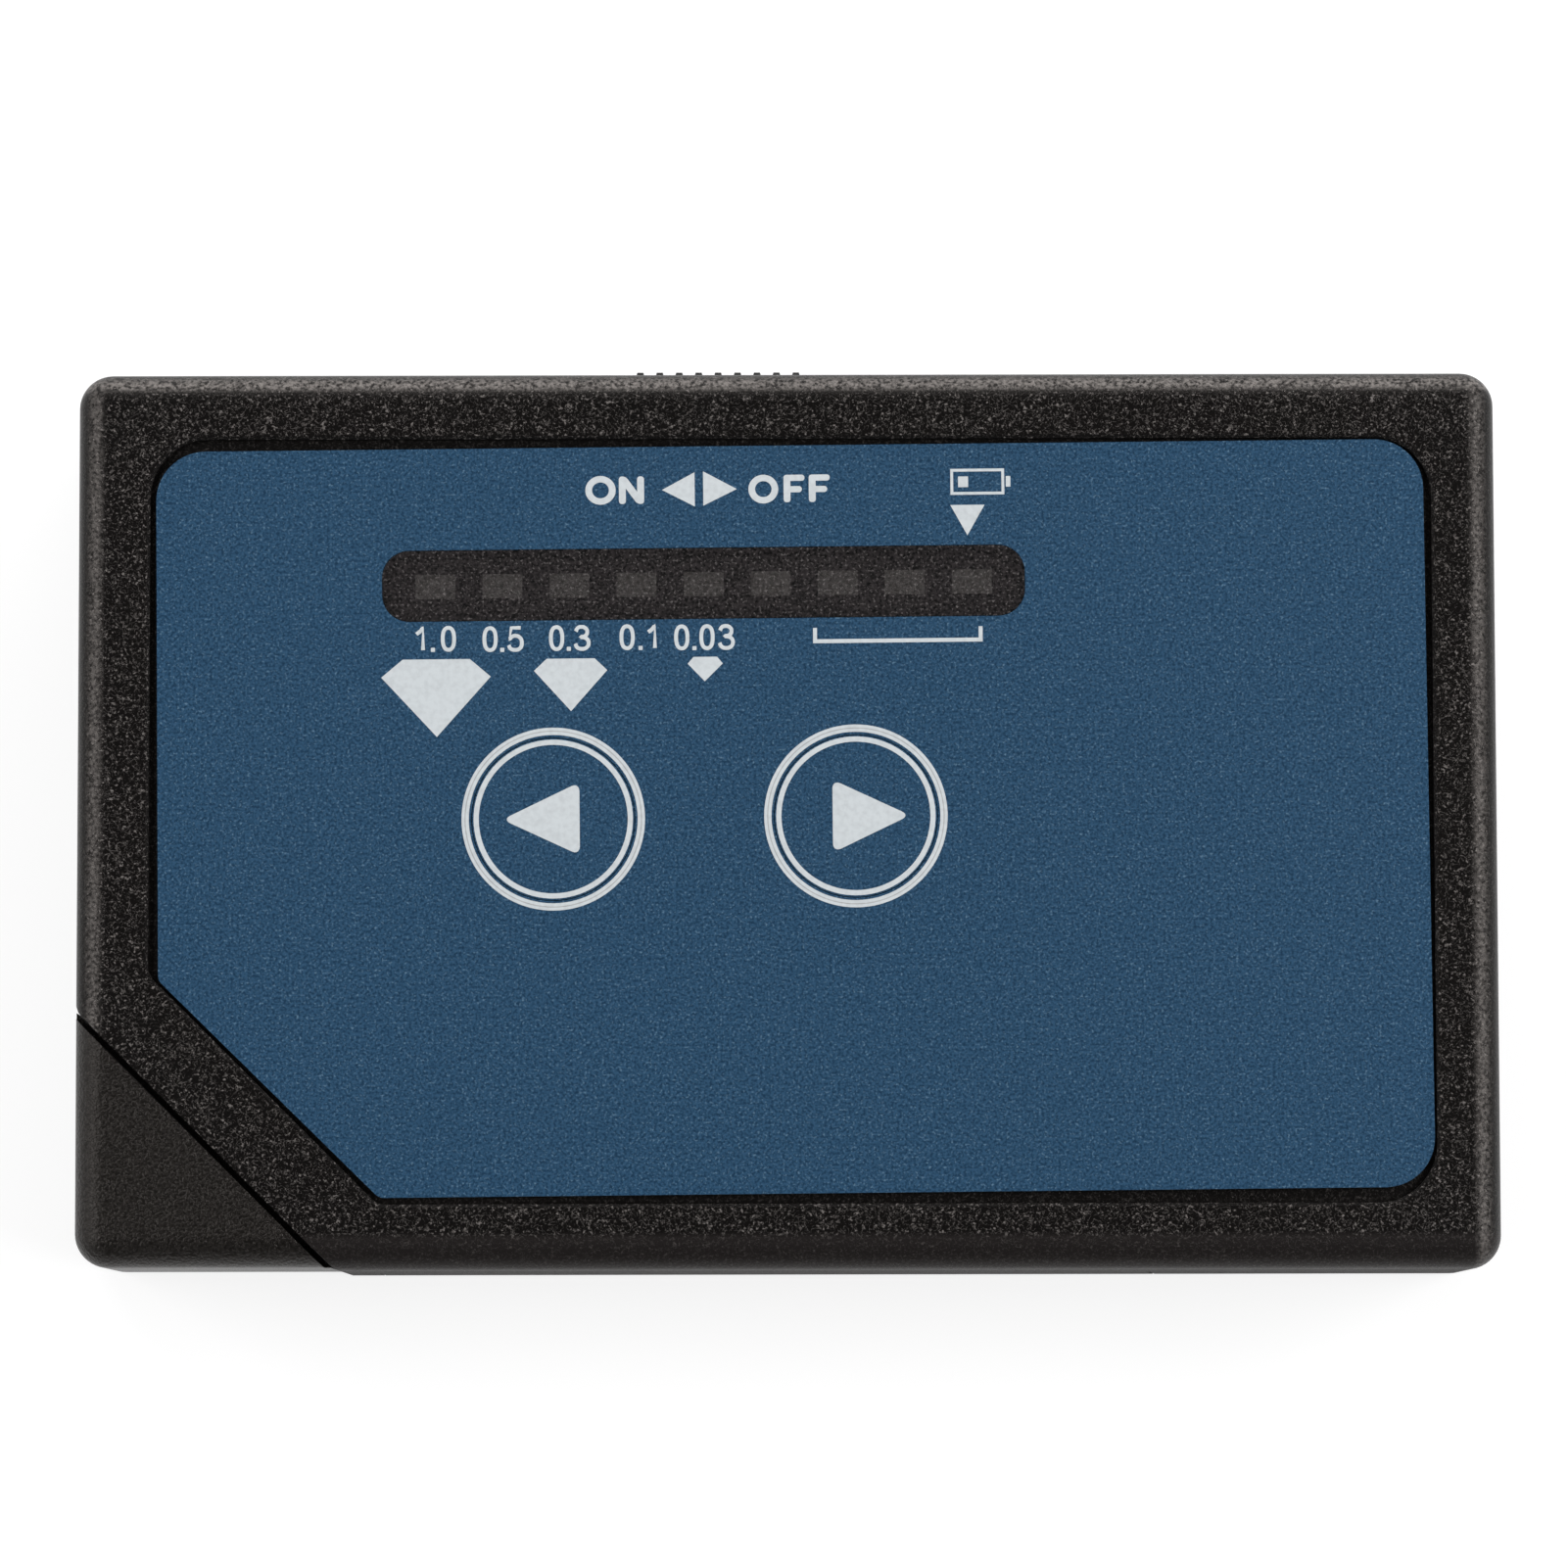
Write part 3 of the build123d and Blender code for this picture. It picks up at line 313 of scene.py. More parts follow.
@dataclass
class CaseZones:
    """Zones of the case's painted shade and painted highlight, and of its glossier front, each a value
    from 0 to 1.

    Distances are inwards from the front shell's outermost faces, and negative from its lowest one
    along Y. A fade is where a zone starts to show and where it shows in full. A stripe is where
    its two soft edges lie, and their width.

    Attributes:
        recipe: Material that the zones are for.
        front_fade: Fade of the front with its rounded edges.
        lower_fade: Fade of the rounded edge at the door's side, which is painted in shade.
        end_fade: Fade of the painted shade on the outer halves of the rounded edges at both ends.
        end_stripe: Stripe of painted highlight on the rounded edges at both ends.
        end_share: How strong the painted highlight at both ends is, against the switch side.
        side_stripe: Stripe of painted highlight on the rounded edge at the switch side.
        recess_margin: How far the overlay's recess reaches past the overlay.
        recess_depth: How far it reaches below the overlay.
        recess_lip: How far its top lies below the overlay's face.
        recess_soft: Width of its soft edges.
    """

    recipe: Recipe
    front_fade: Point = (2.0, 1.5)
    lower_fade: Point = (-2.5, -2.1)
    end_fade: Point = (0.9, 0.6)
    end_stripe: tuple[float, float, float] = (1.6, 0.8, 0.5)
    end_share: float = 0.5
    side_stripe: tuple[float, float, float] = (1.15, 0.4, 0.4)
    recess_margin: float = 0.7
    recess_depth: float = 0.4
    recess_lip: float = 0.05
    recess_soft: float = 0.1

    def __post_init__(self) -> None:
        """Add the coordinates and the zone of the front."""
        self.low, self.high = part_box("front_shell")
        self.x, self.y, self.z = self.recipe.coordinates()
        self.across = self.recipe.compute("ABSOLUTE", self.x)
        start, end = (self.high.z - distance * MM for distance in self.front_fade)
        self.front = self.recipe.ramp(self.z, start, end)

    def edge(self, place: Socket, face: float, distances: tuple[float, ...]) -> Socket:
        """Mark a fade or a stripe of the front's rounded edges.

        Args:
            place: Coordinate across the edge, in metres.
            face: Place of the outermost face there, in metres.
            distances: The fade or the stripe.

        Returns:
            The zone's value.
        """
        start, end = (face - distance * MM for distance in distances[:2])
        if len(distances) == 2:
            zone = self.recipe.ramp(place, start, end)
        else:
            zone = self.recipe.band(place, start, end, distances[2])
        return self.recipe.compute("MULTIPLY", zone, self.front)

    def lower_edge(self) -> Socket:
        """Return the rounded edge at the door's side, which is painted in shade."""
        return self.edge(self.y, self.low.y, self.lower_fade)

    def end_edges(self) -> Socket:
        """Return the outer halves of the rounded edges at both ends, which are painted in shade."""
        return self.edge(self.across, self.high.x, self.end_fade)

    def painted_highlight_edges(self) -> Socket:
        """Return the edges with painted highlight, at both ends and at the switch side."""
        ends = self.edge(self.across, self.high.x, self.end_stripe)
        side = self.edge(self.y, self.high.y, self.side_stripe)
        weaker_ends = self.recipe.compute("MULTIPLY", ends, self.end_share)
        return self.recipe.compute("MAXIMUM", weaker_ends, side)

    def recess(self) -> Socket:
        """Return the overlay's recess, which is painted in shade."""
        low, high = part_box("face_overlay")
        margin = self.recess_margin * MM
        across = self.recipe.band(self.x, low.x - margin, high.x + margin, self.recess_soft)
        along = self.recipe.band(self.y, low.y - margin, high.y + margin, self.recess_soft)
        bottom, top = low.z - self.recess_depth * MM, high.z - self.recess_lip * MM
        level = self.recipe.band(self.z, bottom, top, self.recess_soft)
        return self.recipe.compute("MULTIPLY", self.recipe.compute("MULTIPLY", across, along), level)


@dataclass(frozen=True)
class ErodedPlastic(Look):
    """Moulded plastic from a spark-eroded mould: dark, with short raised worms whose glints are painted
    in lighter colours.

    Attributes:
        colour: Colour between the worms.
        shaded_edge: Colour of the lower rounded edge, painted shade: a flat tone in place of the worms'
            painted glints.
        crest_colour: Colour of the worms' crests, a painted glint.
        glint: Colour of the few brightest points.
        edge_highlight: Colour of the painted highlight on the front's rounded edges.
        depth: Height of the worms.
        roughness: Roughness of the surface.
        front_roughness: Roughness of the front face and its edges.
        specular: Specular level.
        tint: Tint of the gloss.
        worm_level: Level of a noise along which the worms lie.
        worm_edge: Distances from the level at which a worm ends and at which it is full.
        shade_fading: How far the worms' painted glints fade in the painted shade of the edges and the
            recess.
    """

    colour: Colour
    shaded_edge: Colour
    crest_colour: Colour
    glint: Colour
    edge_highlight: Colour
    depth: float
    roughness: float
    front_roughness: float
    specular: float
    tint: Colour
    worm_level: float = 0.5
    worm_edge: Point = (0.05, 0.02)
    shade_fading: float = 0.8

    def fill(self, recipe: Recipe) -> None:
        """Add the worms with their painted glints, the painted shade in which they fade, and the painted
        edge highlight.
        """
        recipe.surface(self.roughness, specular=self.specular, tint=self.tint)
        zones = CaseZones(recipe)
        # Painted shade: on the lower edge, on the outer halves of the end edges and in the overlay's
        # recess, where little light falls, the worms' painted glints fade, and the lower edge takes a
        # flat colour.
        lower = zones.lower_edge()
        edges = recipe.compute("MAXIMUM", zones.end_edges(), lower)
        shaded_zones = recipe.compute("MAXIMUM", edges, zones.recess())
        share = recipe.compute("MULTIPLY_ADD", shaded_zones, -self.shade_fading, 1.0)
        # Painted glints: the worms' crests, and a few points brighter still, take lighter colours that
        # stand in for the light that they catch.
        field = recipe.noise(Grain(size=0.28, detail=1.0, pull=0.5))
        offset = recipe.compute("ABSOLUTE", recipe.compute("SUBTRACT", field, self.worm_level))
        worms = recipe.ramp(offset, *self.worm_edge)
        breaks = recipe.pattern(Grain(size=0.224, low=0.42, high=0.58))
        crests = recipe.compute("MULTIPLY", recipe.compute("MULTIPLY", worms, breaks), share)
        peaks = recipe.pattern(Grain(size=0.196, detail=1.0, low=0.62, high=0.74))
        glints = recipe.compute("MULTIPLY", peaks, share)
        # Painted highlight: a light colour along the front's rounded edges, broken up by noise, stands
        # in for the lamps' reflection there.
        highlight_patches = recipe.pattern(Grain(size=0.252, low=0.36, high=0.62))
        edge_highlight = recipe.compute("MULTIPLY", zones.painted_highlight_edges(), highlight_patches)
        coats = (lower, self.shaded_edge), (crests, self.crest_colour), (glints, self.glint), (edge_highlight, self.edge_highlight)
        recipe.paint(self.colour, *coats)
        change = self.front_roughness - self.roughness
        roughness = recipe.compute("MULTIPLY_ADD", zones.front, change, self.roughness)
        recipe.feed(recipe.shader.inputs["Roughness"], roughness)
        recipe.bump(crests, self.depth)
        recipe.bump(recipe.noise(Grain(size=0.14)), self.depth / 2)


@dataclass(frozen=True)
class GrainedSheet(Look):
    """Plastic sheet with fine sparkling grain, such as a printed face overlay.

    Attributes:
        dark: Colour in the hollows of the grain.
        light: Colour of the bulk of the grain.
        spark: Colour of the few brightest grains.
        grain: Size of a grain.
        alpha: Share of what lies behind that the sheet hides.
        bulk: Levels of the grain between which it turns from dark to light.
        spark_size: Size of a spark, against a grain.
    """

    dark: Colour
    light: Colour
    spark: Colour
    grain: float
    alpha: float = 1.0
    bulk: Point = (0.36, 0.6)
    spark_size: float = 0.9

    def fill(self, recipe: Recipe) -> None:
        """Add the grain and its sparks."""
        recipe.surface(roughness=0.45, specular=0.25)
        recipe.shader.inputs["Alpha"].default_value = self.alpha
        grain = recipe.noise(Grain(self.grain, detail=3.0))
        bulk = recipe.ramp(grain, *self.bulk)
        sparks = recipe.pattern(Grain(self.grain * self.spark_size, detail=1.0, low=0.58, high=0.8))
        recipe.paint(self.dark, (bulk, self.light), (sparks, self.spark))
        recipe.bump(grain, height=0.012)


@dataclass(frozen=True)
class Mottled(Look):
    """Surface of one colour with patches of another and fine marks, such as printed ink.

    Attributes:
        colour: Colour between the patches.
        patch: Colour of the patches.
        roughness: Roughness of the surface.
        metallic: 1 for a bare metal.
        specular: Specular level.
        patches: Noise of the patches.
        marks: Noise of the marks on the surface.
        depth: Depth of the marks.
    """

    colour: Colour
    patch: Colour
    roughness: float = 0.55
    metallic: float = 0.0
    specular: float = 0.3
    patches: Grain = Grain(0.35, detail=3.0, low=0.3, high=0.6)
    marks: Grain = Grain(0.35, detail=3.0)
    depth: float = 0.008

    def fill(self, recipe: Recipe) -> None:
        """Add the patches and the marks."""
        recipe.surface(self.roughness, self.metallic, self.specular)
        recipe.paint(self.colour, (recipe.pattern(self.patches), self.patch))
        recipe.bump(recipe.noise(self.marks), self.depth)


@dataclass(frozen=True)
class Metal(Mottled):
    """Bare or plated metal with duller patches and fine drawing or turning marks."""

    metallic: float = 1.0
    specular: float = 0.5
    patches: Grain = Grain(1.4, detail=4.0, low=0.4, high=0.65)
    marks: Grain = Grain(0.15)
    depth: float = 0.004


@dataclass(frozen=True)
class BandedJacket(Look):
    """Printed jacket of a round cell that lies along X, dark with one light band.

    Attributes:
        edge: Place along X where the band starts.
        plus_side: 1 where the positive end points to +X, and -1 where it points to -X.
        body: Colour of the jacket.
        band: Colour of the band at the positive end.
        blur: Half the width over which one colour turns into the other.
    """

    edge: float
    plus_side: int
    body: Colour = (0.01, 0.045, 0.028)
    band: Colour = (0.5, 0.5, 0.47)
    blur: float = 0.05

    def fill(self, recipe: Recipe) -> None:
        """Add the band and the jacket's unevenness."""
        recipe.surface(roughness=0.3)
        reach = self.blur * self.plus_side
        low = (self.edge - reach) * MM
        high = (self.edge + reach) * MM
        recipe.paint(self.body, (recipe.ramp(recipe.coordinates()[0], low, high), self.band))
        recipe.bump(recipe.noise(Grain(size=0.6)), height=0.006)


class Finish(Enum):
    """Every finish of the tester, for the CAD nodes and for the print."""

    CASE = ErodedPlastic(
        "case_plastic",
        colour=(0.0034, 0.003, 0.0029),
        # The lower edge's colour is painted shade, the crests' and glints' colours are painted glints,
        # and the edges' colour is a painted highlight.
        shaded_edge=(0.0128, 0.011, 0.0108),
        crest_colour=(0.066, 0.06, 0.057),
        glint=(0.15, 0.137, 0.13),
        edge_highlight=(0.195, 0.178, 0.168),
        depth=0.06,
        roughness=0.62,
        front_roughness=0.34,
        specular=0.16,
        tint=(1.0, 0.93, 0.88),
    )
    CAP = MouldedPlastic(
        "cap_plastic", (0.0038, 0.0031, 0.0026), (0.0132, 0.0114, 0.0104), 0.2, 0.035, 0.37,
        specular=0.29, tint=(1.0, 0.93, 0.88),
    )
    KNOB = MouldedPlastic("knob_plastic", (0.035, 0.034, 0.034), (0.055, 0.054, 0.054), 0.15, 0.01, 0.45)
    SWITCH = MouldedPlastic("switch_plastic", grey(0.02), grey(0.03), 0.15, 0.01, 0.45)
    SHEET = GrainedSheet(
        "overlay_sheet", (0.0045, 0.029, 0.065), (0.0222, 0.0705, 0.136), (0.095, 0.175, 0.26), 0.18
    )
    WINDOW = GrainedSheet(
        "smoked_window", grey(0.0005), (0.034, 0.029, 0.03), (0.21, 0.19, 0.19), 0.2, alpha=0.55
    )
    LED = MouldedPlastic("led_lens", (0.42, 0.39, 0.36), (0.86, 0.82, 0.78), 0.3, 0.004, 0.3)
    ADHESIVE = MouldedPlastic(
        "adhesive_film", (0.008, 0.0075, 0.007), (0.011, 0.01, 0.01), 0.4, 0.006, 0.5
    )
    BOARD = MouldedPlastic("solder_mask", (0.012, 0.09, 0.035), (0.016, 0.12, 0.046), 0.8, 0.01, 0.3)
    CHIP = MouldedPlastic("chip_resin", grey(0.014), grey(0.02), 0.1, 0.006, 0.55)
    TRIMMER = MouldedPlastic("trimmer_blue", (0.02, 0.07, 0.32), (0.03, 0.09, 0.36), 0.2, 0.006, 0.35)
    NYLON = MouldedPlastic("header_nylon", (0.68, 0.63, 0.5), (0.74, 0.7, 0.58), 0.2, 0.008, 0.45)
    BUZZER = MouldedPlastic("buzzer_plastic", grey(0.013), grey(0.019), 0.2, 0.006, 0.3)
    INSULATOR = MouldedPlastic(
        "heat_proof_plastic", (0.7, 0.69, 0.64), (0.75, 0.74, 0.7), 0.2, 0.006, 0.5
    )
    CERAMIC = MouldedPlastic("white_ceramic", (0.74, 0.72, 0.66), (0.8, 0.78, 0.73), 0.12, 0.004, 0.4)
    RED_LEAD = MouldedPlastic("red_insulation", (0.42, 0.012, 0.01), (0.47, 0.02, 0.016))
    BLACK_LEAD = MouldedPlastic("black_insulation", grey(0.012), grey(0.02))
    YELLOW_LEAD = MouldedPlastic("yellow_insulation", (0.55, 0.36, 0.02), (0.6, 0.41, 0.03))
    WHITE_LEAD = MouldedPlastic("white_insulation", (0.66, 0.66, 0.63), (0.72, 0.72, 0.7))
    STEEL = Metal("plated_steel", (0.62, 0.61, 0.58), (0.5, 0.49, 0.47), 0.28)
    SCREW = Metal("screw_steel", (0.3, 0.29, 0.28), (0.2, 0.19, 0.19), 0.35)
    CHROME = Metal("nozzle_chrome", (0.74, 0.74, 0.75), (0.66, 0.66, 0.67), 0.12, marks=Grain(0.25))
    COPPER = Metal("tip_copper", (0.82, 0.42, 0.26), (0.62, 0.3, 0.18), 0.25)
    BRASS = Metal("contact_brass", (0.72, 0.56, 0.26), (0.6, 0.45, 0.2), 0.3)
    ALUMINIUM = Metal("capacitor_can", (0.8, 0.8, 0.81), (0.7, 0.7, 0.71), 0.3)
    UPPER_JACKET = BandedJacket("upper_cell_jacket", edge=10.0, plus_side=1)
    LOWER_JACKET = BandedJacket("lower_cell_jacket", edge=-13.0, plus_side=-1)
    INK = Mottled("white_ink", (0.505, 0.537, 0.557), (0.567, 0.603, 0.623))
    # Darker ink for the painted shade along the middle of each key's embossed outer ring.
    EMBOSS_SHADE_INK = Mottled("emboss_shade_ink", (0.34, 0.35, 0.355), (0.41, 0.42, 0.425))


NODE_FINISHES: dict[Finish, tuple[str, ...]] = {
    Finish.CASE: ("front_shell", "rear_shell", "battery_door"),
    Finish.CAP: ("probe_cap", "probe_holder"),
    Finish.KNOB: ("switch_knob",),
    Finish.SWITCH: (
        "switch_lever", "left_key_plunger", "right_key_plunger", "left_tact_switch", "right_tact_switch",
    ),
    Finish.SHEET: ("face_overlay", "left_key_face", "right_key_face"),
    Finish.WINDOW: ("indicator_window",),
    Finish.LED: tuple(f"indicator_led_{number}" for number in range(1, 10)),
    Finish.ADHESIVE: ("overlay_adhesive",),
    Finish.BOARD: ("main_board",),
    Finish.CHIP: ("driver_chip", "amplifier_chip"),
    Finish.TRIMMER: ("calibration_trimmer",),
    Finish.NYLON: ("right_wire_header", "left_wire_header", "left_tact_stem", "right_tact_stem"),
    Finish.BUZZER: ("buzzer",),
    Finish.INSULATOR: ("probe_end_plug",),
    Finish.CERAMIC: ("probe_heater",),
    Finish.RED_LEAD: ("positive_lead", "right_buzzer_lead"),
    Finish.BLACK_LEAD: ("negative_lead", "left_buzzer_lead"),
    Finish.YELLOW_LEAD: ("left_probe_lead",),
    Finish.WHITE_LEAD: ("right_probe_lead",),
    Finish.STEEL: ("switch_body", "upper_contact_spring", "lower_contact_spring", "probe_spring"),
    Finish.SCREW: ("case_screws", "board_screws"),
    Finish.CHROME: ("probe_nozzle",),
    Finish.COPPER: ("probe_tip",),
    Finish.BRASS: ("positive_contact", "negative_contact", "bridge_contact"),
    Finish.ALUMINIUM: ("filter_capacitor",),
    Finish.UPPER_JACKET: ("upper_cell",),
    Finish.LOWER_JACKET: ("lower_cell",),
}


class Wardrobe:
    """Builds each finish once and gives it to the pieces that wear it."""

    def __init__(self) -> None:
        """Start with nothing built."""
        self.built: dict[Finish, bpy.types.Material] = {}

    def dress(self, piece: Piece, finish: Finish) -> None:
        """Give a piece one finish all over, built the first time that it is asked for.

        Args:
            piece: Object to dress.
            finish: Finish that it takes.
        """
        if finish not in self.built:
            self.built[finish] = finish.value.build()
        piece.data.materials.clear()
        piece.data.materials.append(self.built[finish])

    def dress_frame(self) -> None:
        """Give every CAD node its finish."""
        for finish, nodes in NODE_FINISHES.items():
            for node in nodes:
                self.dress(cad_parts[node], finish)
                LOG.info("node %s takes %s", node, finish.value.name)


def add_piece(name: str, shape: Shape) -> Piece:
    """Turn a finished shape into an object of the scene.

    Args:
        name: Name of the object.
        shape: The shape, in metres, which is freed.

    Returns:
        The object.
    """
    mesh = bpy.data.meshes.new(name)
    shape.to_mesh(mesh)
    shape.free()
    piece = bpy.data.objects.new(name, mesh)
    bpy.context.scene.collection.objects.link(piece)
    return piece


class Body(Enum):
    """Bodies that the printed pieces ride on."""

    CASE = "case"
    LEFT_KEY = "left_key"
    RIGHT_KEY = "right_key"


@dataclass
class ProbeSpring:
    """Copy of the spring behind the probe's tip, which on the real tester shortens as the tip is pressed
    in.

    Attributes:
        wardrobe: Where its finish comes from.
        axis: Direction in which the tip is pressed.
        travel: How far the tip goes; not used.
        sharp_angle: Angle past which two faces meet in a sharp edge, in degrees.
    """

    wardrobe: Wardrobe
    axis: tuple[float, float, float] = (math.sqrt(0.5), math.sqrt(0.5), 0.0)
    travel: float = 1.0
    sharp_angle: float = 50.0

    def build(self) -> None:
        """Copy the CAD spring, merged, as a piece of its own."""
        shape = bmesh.new()
        shape.from_mesh(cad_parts["probe_spring"].data)
        bmesh.ops.remove_doubles(shape, verts=shape.verts, dist=MERGE_DISTANCE * MM)
        axis = Vector(self.axis)
        places = [corner.co.dot(axis) for corner in shape.verts]
        piece = add_piece("probe_coil", shape)
        piece.data.shade_smooth()
        piece.data.set_sharp_from_angle(angle=math.radians(self.sharp_angle))
        self.wardrobe.dress(piece, Finish.STEEL)
        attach(piece, "case")
        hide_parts("probe_spring")
        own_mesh(piece)


@dataclass(frozen=True)
class Glyph:
    """Numeral drawn with one pen stroke.

    Attributes:
        width: Width of its box, pen included.
        points: Points that the pen goes through, across and up the box, from 0 to 1.
        sharp: Numbers of the points, from 0, at which the stroke turns sharply.
        closed: Whether the stroke returns to its start.
    """

    width: float
    points: tuple[Point, ...]
    sharp: tuple[int, ...] = ()
    closed: bool = False


NUMERALS: dict[str, Glyph] = {
    "0": Glyph(0.99, ((0.5, 1.0), (0.0, 0.5), (0.5, 0.0), (1.0, 0.5)), closed=True),
    "1": Glyph(0.68, ((0.0, 0.72), (0.55, 0.84), (1.0, 1.0), (1.0, 0.0)), sharp=(2, 3)),
    "3": Glyph(
        1.12,
        (
            (0.04, 0.8), (0.2, 0.95), (0.47, 1.0), (0.78, 0.93), (0.9, 0.77), (0.77, 0.6), (0.4, 0.54),
            (0.85, 0.46), (1.0, 0.28), (0.86, 0.07), (0.48, 0.0), (0.14, 0.07), (0.0, 0.24),
        ),
        sharp=(6,),
    ),
    "5": Glyph(
        1.1,
        (
            (0.92, 1.0), (0.2, 1.0), (0.06, 0.48), (0.25, 0.6), (0.55, 0.64), (0.88, 0.54), (1.0, 0.32),
            (0.87, 0.08), (0.5, 0.0), (0.13, 0.07), (0.0, 0.22),
        ),
        sharp=(0, 1, 2),
    ),
}


def box_points(low: Point, high: Point) -> list[Point]:
    """Return a rectangle's corners, anticlockwise from its lower left one."""
    return [low, (high[0], low[1]), high, (low[0], high[1])]


@dataclass
class PrintShop:
    """Shapes of ink, and the way that they come onto the overlay.

    Places are measured from the overlay's middle, along its own sides.

    Attributes:
        wardrobe: Where the ink comes from.
        centre: The overlay's middle on the case.
        skew: Turn of the overlay on the case, in degrees.
        ink_height: Thickness of the ink.
        pen: Width of the pen that draws the numerals.
        dot: Side of a decimal point.
        dot_rounding: Rounding of its corners.
    """

    wardrobe: Wardrobe
    centre: Point = (0.40, 0.03)
    skew: float = 0.5
    ink_height: float = 0.015
    pen: float = 0.25
    dot: float = 0.27
    dot_rounding: float = 0.05

    def __post_init__(self) -> None:
        """Read the level of the overlay's face from the frame."""
        self.face_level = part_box("face_overlay")[1].z

    def lay(
        self, name: str, shape: Shape, body: Body = Body.CASE, finish: Finish = Finish.INK
    ) -> None:
        """Bring a finished shape of ink to its place on the overlay.

        Args:
            name: Name of the piece.
            shape: Solid of ink that stands on z = 0, in overlay coordinates.
            body: Body that the piece rides on.
            finish: Ink that it is printed in.
        """
        place = (
            Matrix.Translation((0, 0, self.face_level))
            @ Matrix.Scale(MM, 4)
            @ Matrix.Translation((*self.centre, 0))
            @ Matrix.Rotation(math.radians(self.skew), 4, "Z")
        )
        bmesh.ops.transform(shape, matrix=place, verts=shape.verts)
        bmesh.ops.recalc_face_normals(shape, faces=shape.faces)
        piece = add_piece(name, shape)
        piece.data.shade_flat()
        self.wardrobe.dress(piece, finish)
        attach(piece, body.value)
        LOG.info("print %s rides on %s", name, body.value)

    def thicken(self, shape: Shape) -> Shape:
        """Return flat faces on z = 0 as a solid of ink."""
        bmesh.ops.recalc_face_normals(shape, faces=shape.faces)
        grown = bmesh.ops.extrude_face_region(shape, geom=list(shape.faces))
        top = [item for item in grown["geom"] if isinstance(item, bmesh.types.BMVert)]
        bmesh.ops.translate(shape, vec=(0, 0, self.ink_height), verts=top)
        return shape

    def ring(self, middle: Point, radii: Point, stretch: float = 1.0) -> Shape:
        """Ring about a point.

        Args:
            middle: The point.
            radii: Outer and inner radius.
            stretch: How much wider than high it is.

        Returns:
            The ring.
        """
        outer, inner = radii
        shape = bmesh.new()
        start = [shape.verts.new((inner, 0, 0)), shape.verts.new((outer, 0, 0))]
        edge = shape.edges.new(start)
        bmesh.ops.spin(
            shape, geom=[*start, edge], cent=(0, 0, 0), axis=(0, 0, 1),
            angle=2 * math.pi, steps=96, use_merge=True,
        )
        bmesh.ops.scale(shape, vec=(stretch, 1, 1), verts=shape.verts)
        bmesh.ops.translate(shape, vec=(*middle, 0), verts=shape.verts)
        return self.thicken(shape)

    def plate(self, points: list[Point], rounding: float = 0.0) -> Shape:
        """Plate with its corners at the given points, and its outer corners rounded if asked.

        Args:
            points: Corners in order, anticlockwise.
            rounding: Distance from each outer corner at which its rounding starts.

        Returns:
            The plate.
        """
        shape = bmesh.new()
        rim = [shape.verts.new((x, y, 0)) for x, y in points]
        shape.faces.new(rim)
        if rounding:
            before = [rim[-1], *rim[:-1]]
            after = [*rim[1:], rim[0]]
            outer = [
                corner for last, corner, following in zip(before, rim, after)
                if (corner.co - last.co).cross(following.co - corner.co).z > 0
            ]
            bmesh.ops.bevel(
                shape, geom=outer, offset=rounding, offset_type="OFFSET", affect="VERTICES",
                segments=5, profile=0.5, material=-1,
            )
        return self.thicken(shape)

    def frame_plate(self, low: Point, high: Point, wall: float) -> Shape:
        """Rectangular frame of one wall thickness.

        Args:
            low: Its lower left corner.
            high: Its upper right corner.
            wall: Width of its wall.

        Returns:
            The frame.
        """
        shape = bmesh.new()
        middle = shape.faces.new([shape.verts.new((x, y, 0)) for x, y in box_points(low, high)])
        shape.normal_update()
        bmesh.ops.inset_region(shape, faces=[middle], thickness=wall, use_boundary=True)
        bmesh.ops.delete(shape, geom=[middle], context="FACES_ONLY")
        return self.thicken(shape)

    def stroke(self, glyph: Glyph, left: float, bottom: float, height: float) -> Shape:
        """Numeral drawn by the pen.

        Args:
            glyph: Numeral to draw.
            left: Left side of its box.
            bottom: Lower side of its box.
            height: Height of its box.

        Returns:
            The numeral's solid stroke.
        """
        curve = bpy.data.curves.new("stroke", "CURVE")
        curve.dimensions = "3D"
        curve.bevel_depth = self.pen / 2
        curve.bevel_resolution = 2
        curve.use_fill_caps = True
        curve.resolution_u = 10
        spline = curve.splines.new("BEZIER")
        spline.bezier_points.add(len(glyph.points) - 1)
        spline.use_cyclic_u = glyph.closed
        for number, (across, up) in enumerate(glyph.points):
            x = left + self.pen / 2 + across * (glyph.width - self.pen)
            y = bottom + self.pen / 2 + up * (height - self.pen)
            knot = spline.bezier_points[number]
            knot.co = (x, y, 0)
            kind = "VECTOR" if number in glyph.sharp else "AUTO"
            knot.handle_left_type = knot.handle_right_type = kind
        drawn = bpy.data.objects.new("stroke", curve)
        mesh = bpy.data.meshes.new_from_object(drawn)
        shape = bmesh.new()
        shape.from_mesh(mesh)
        bpy.data.objects.remove(drawn)
        bpy.data.curves.remove(curve)
        bpy.data.meshes.remove(mesh)
        bmesh.ops.remove_doubles(shape, verts=shape.verts, dist=MERGE_DISTANCE)
        bmesh.ops.scale(shape, vec=(1, 1, self.ink_height / self.pen), verts=shape.verts)
        bmesh.ops.translate(shape, vec=(0, 0, self.ink_height / 2), verts=shape.verts)
        return shape

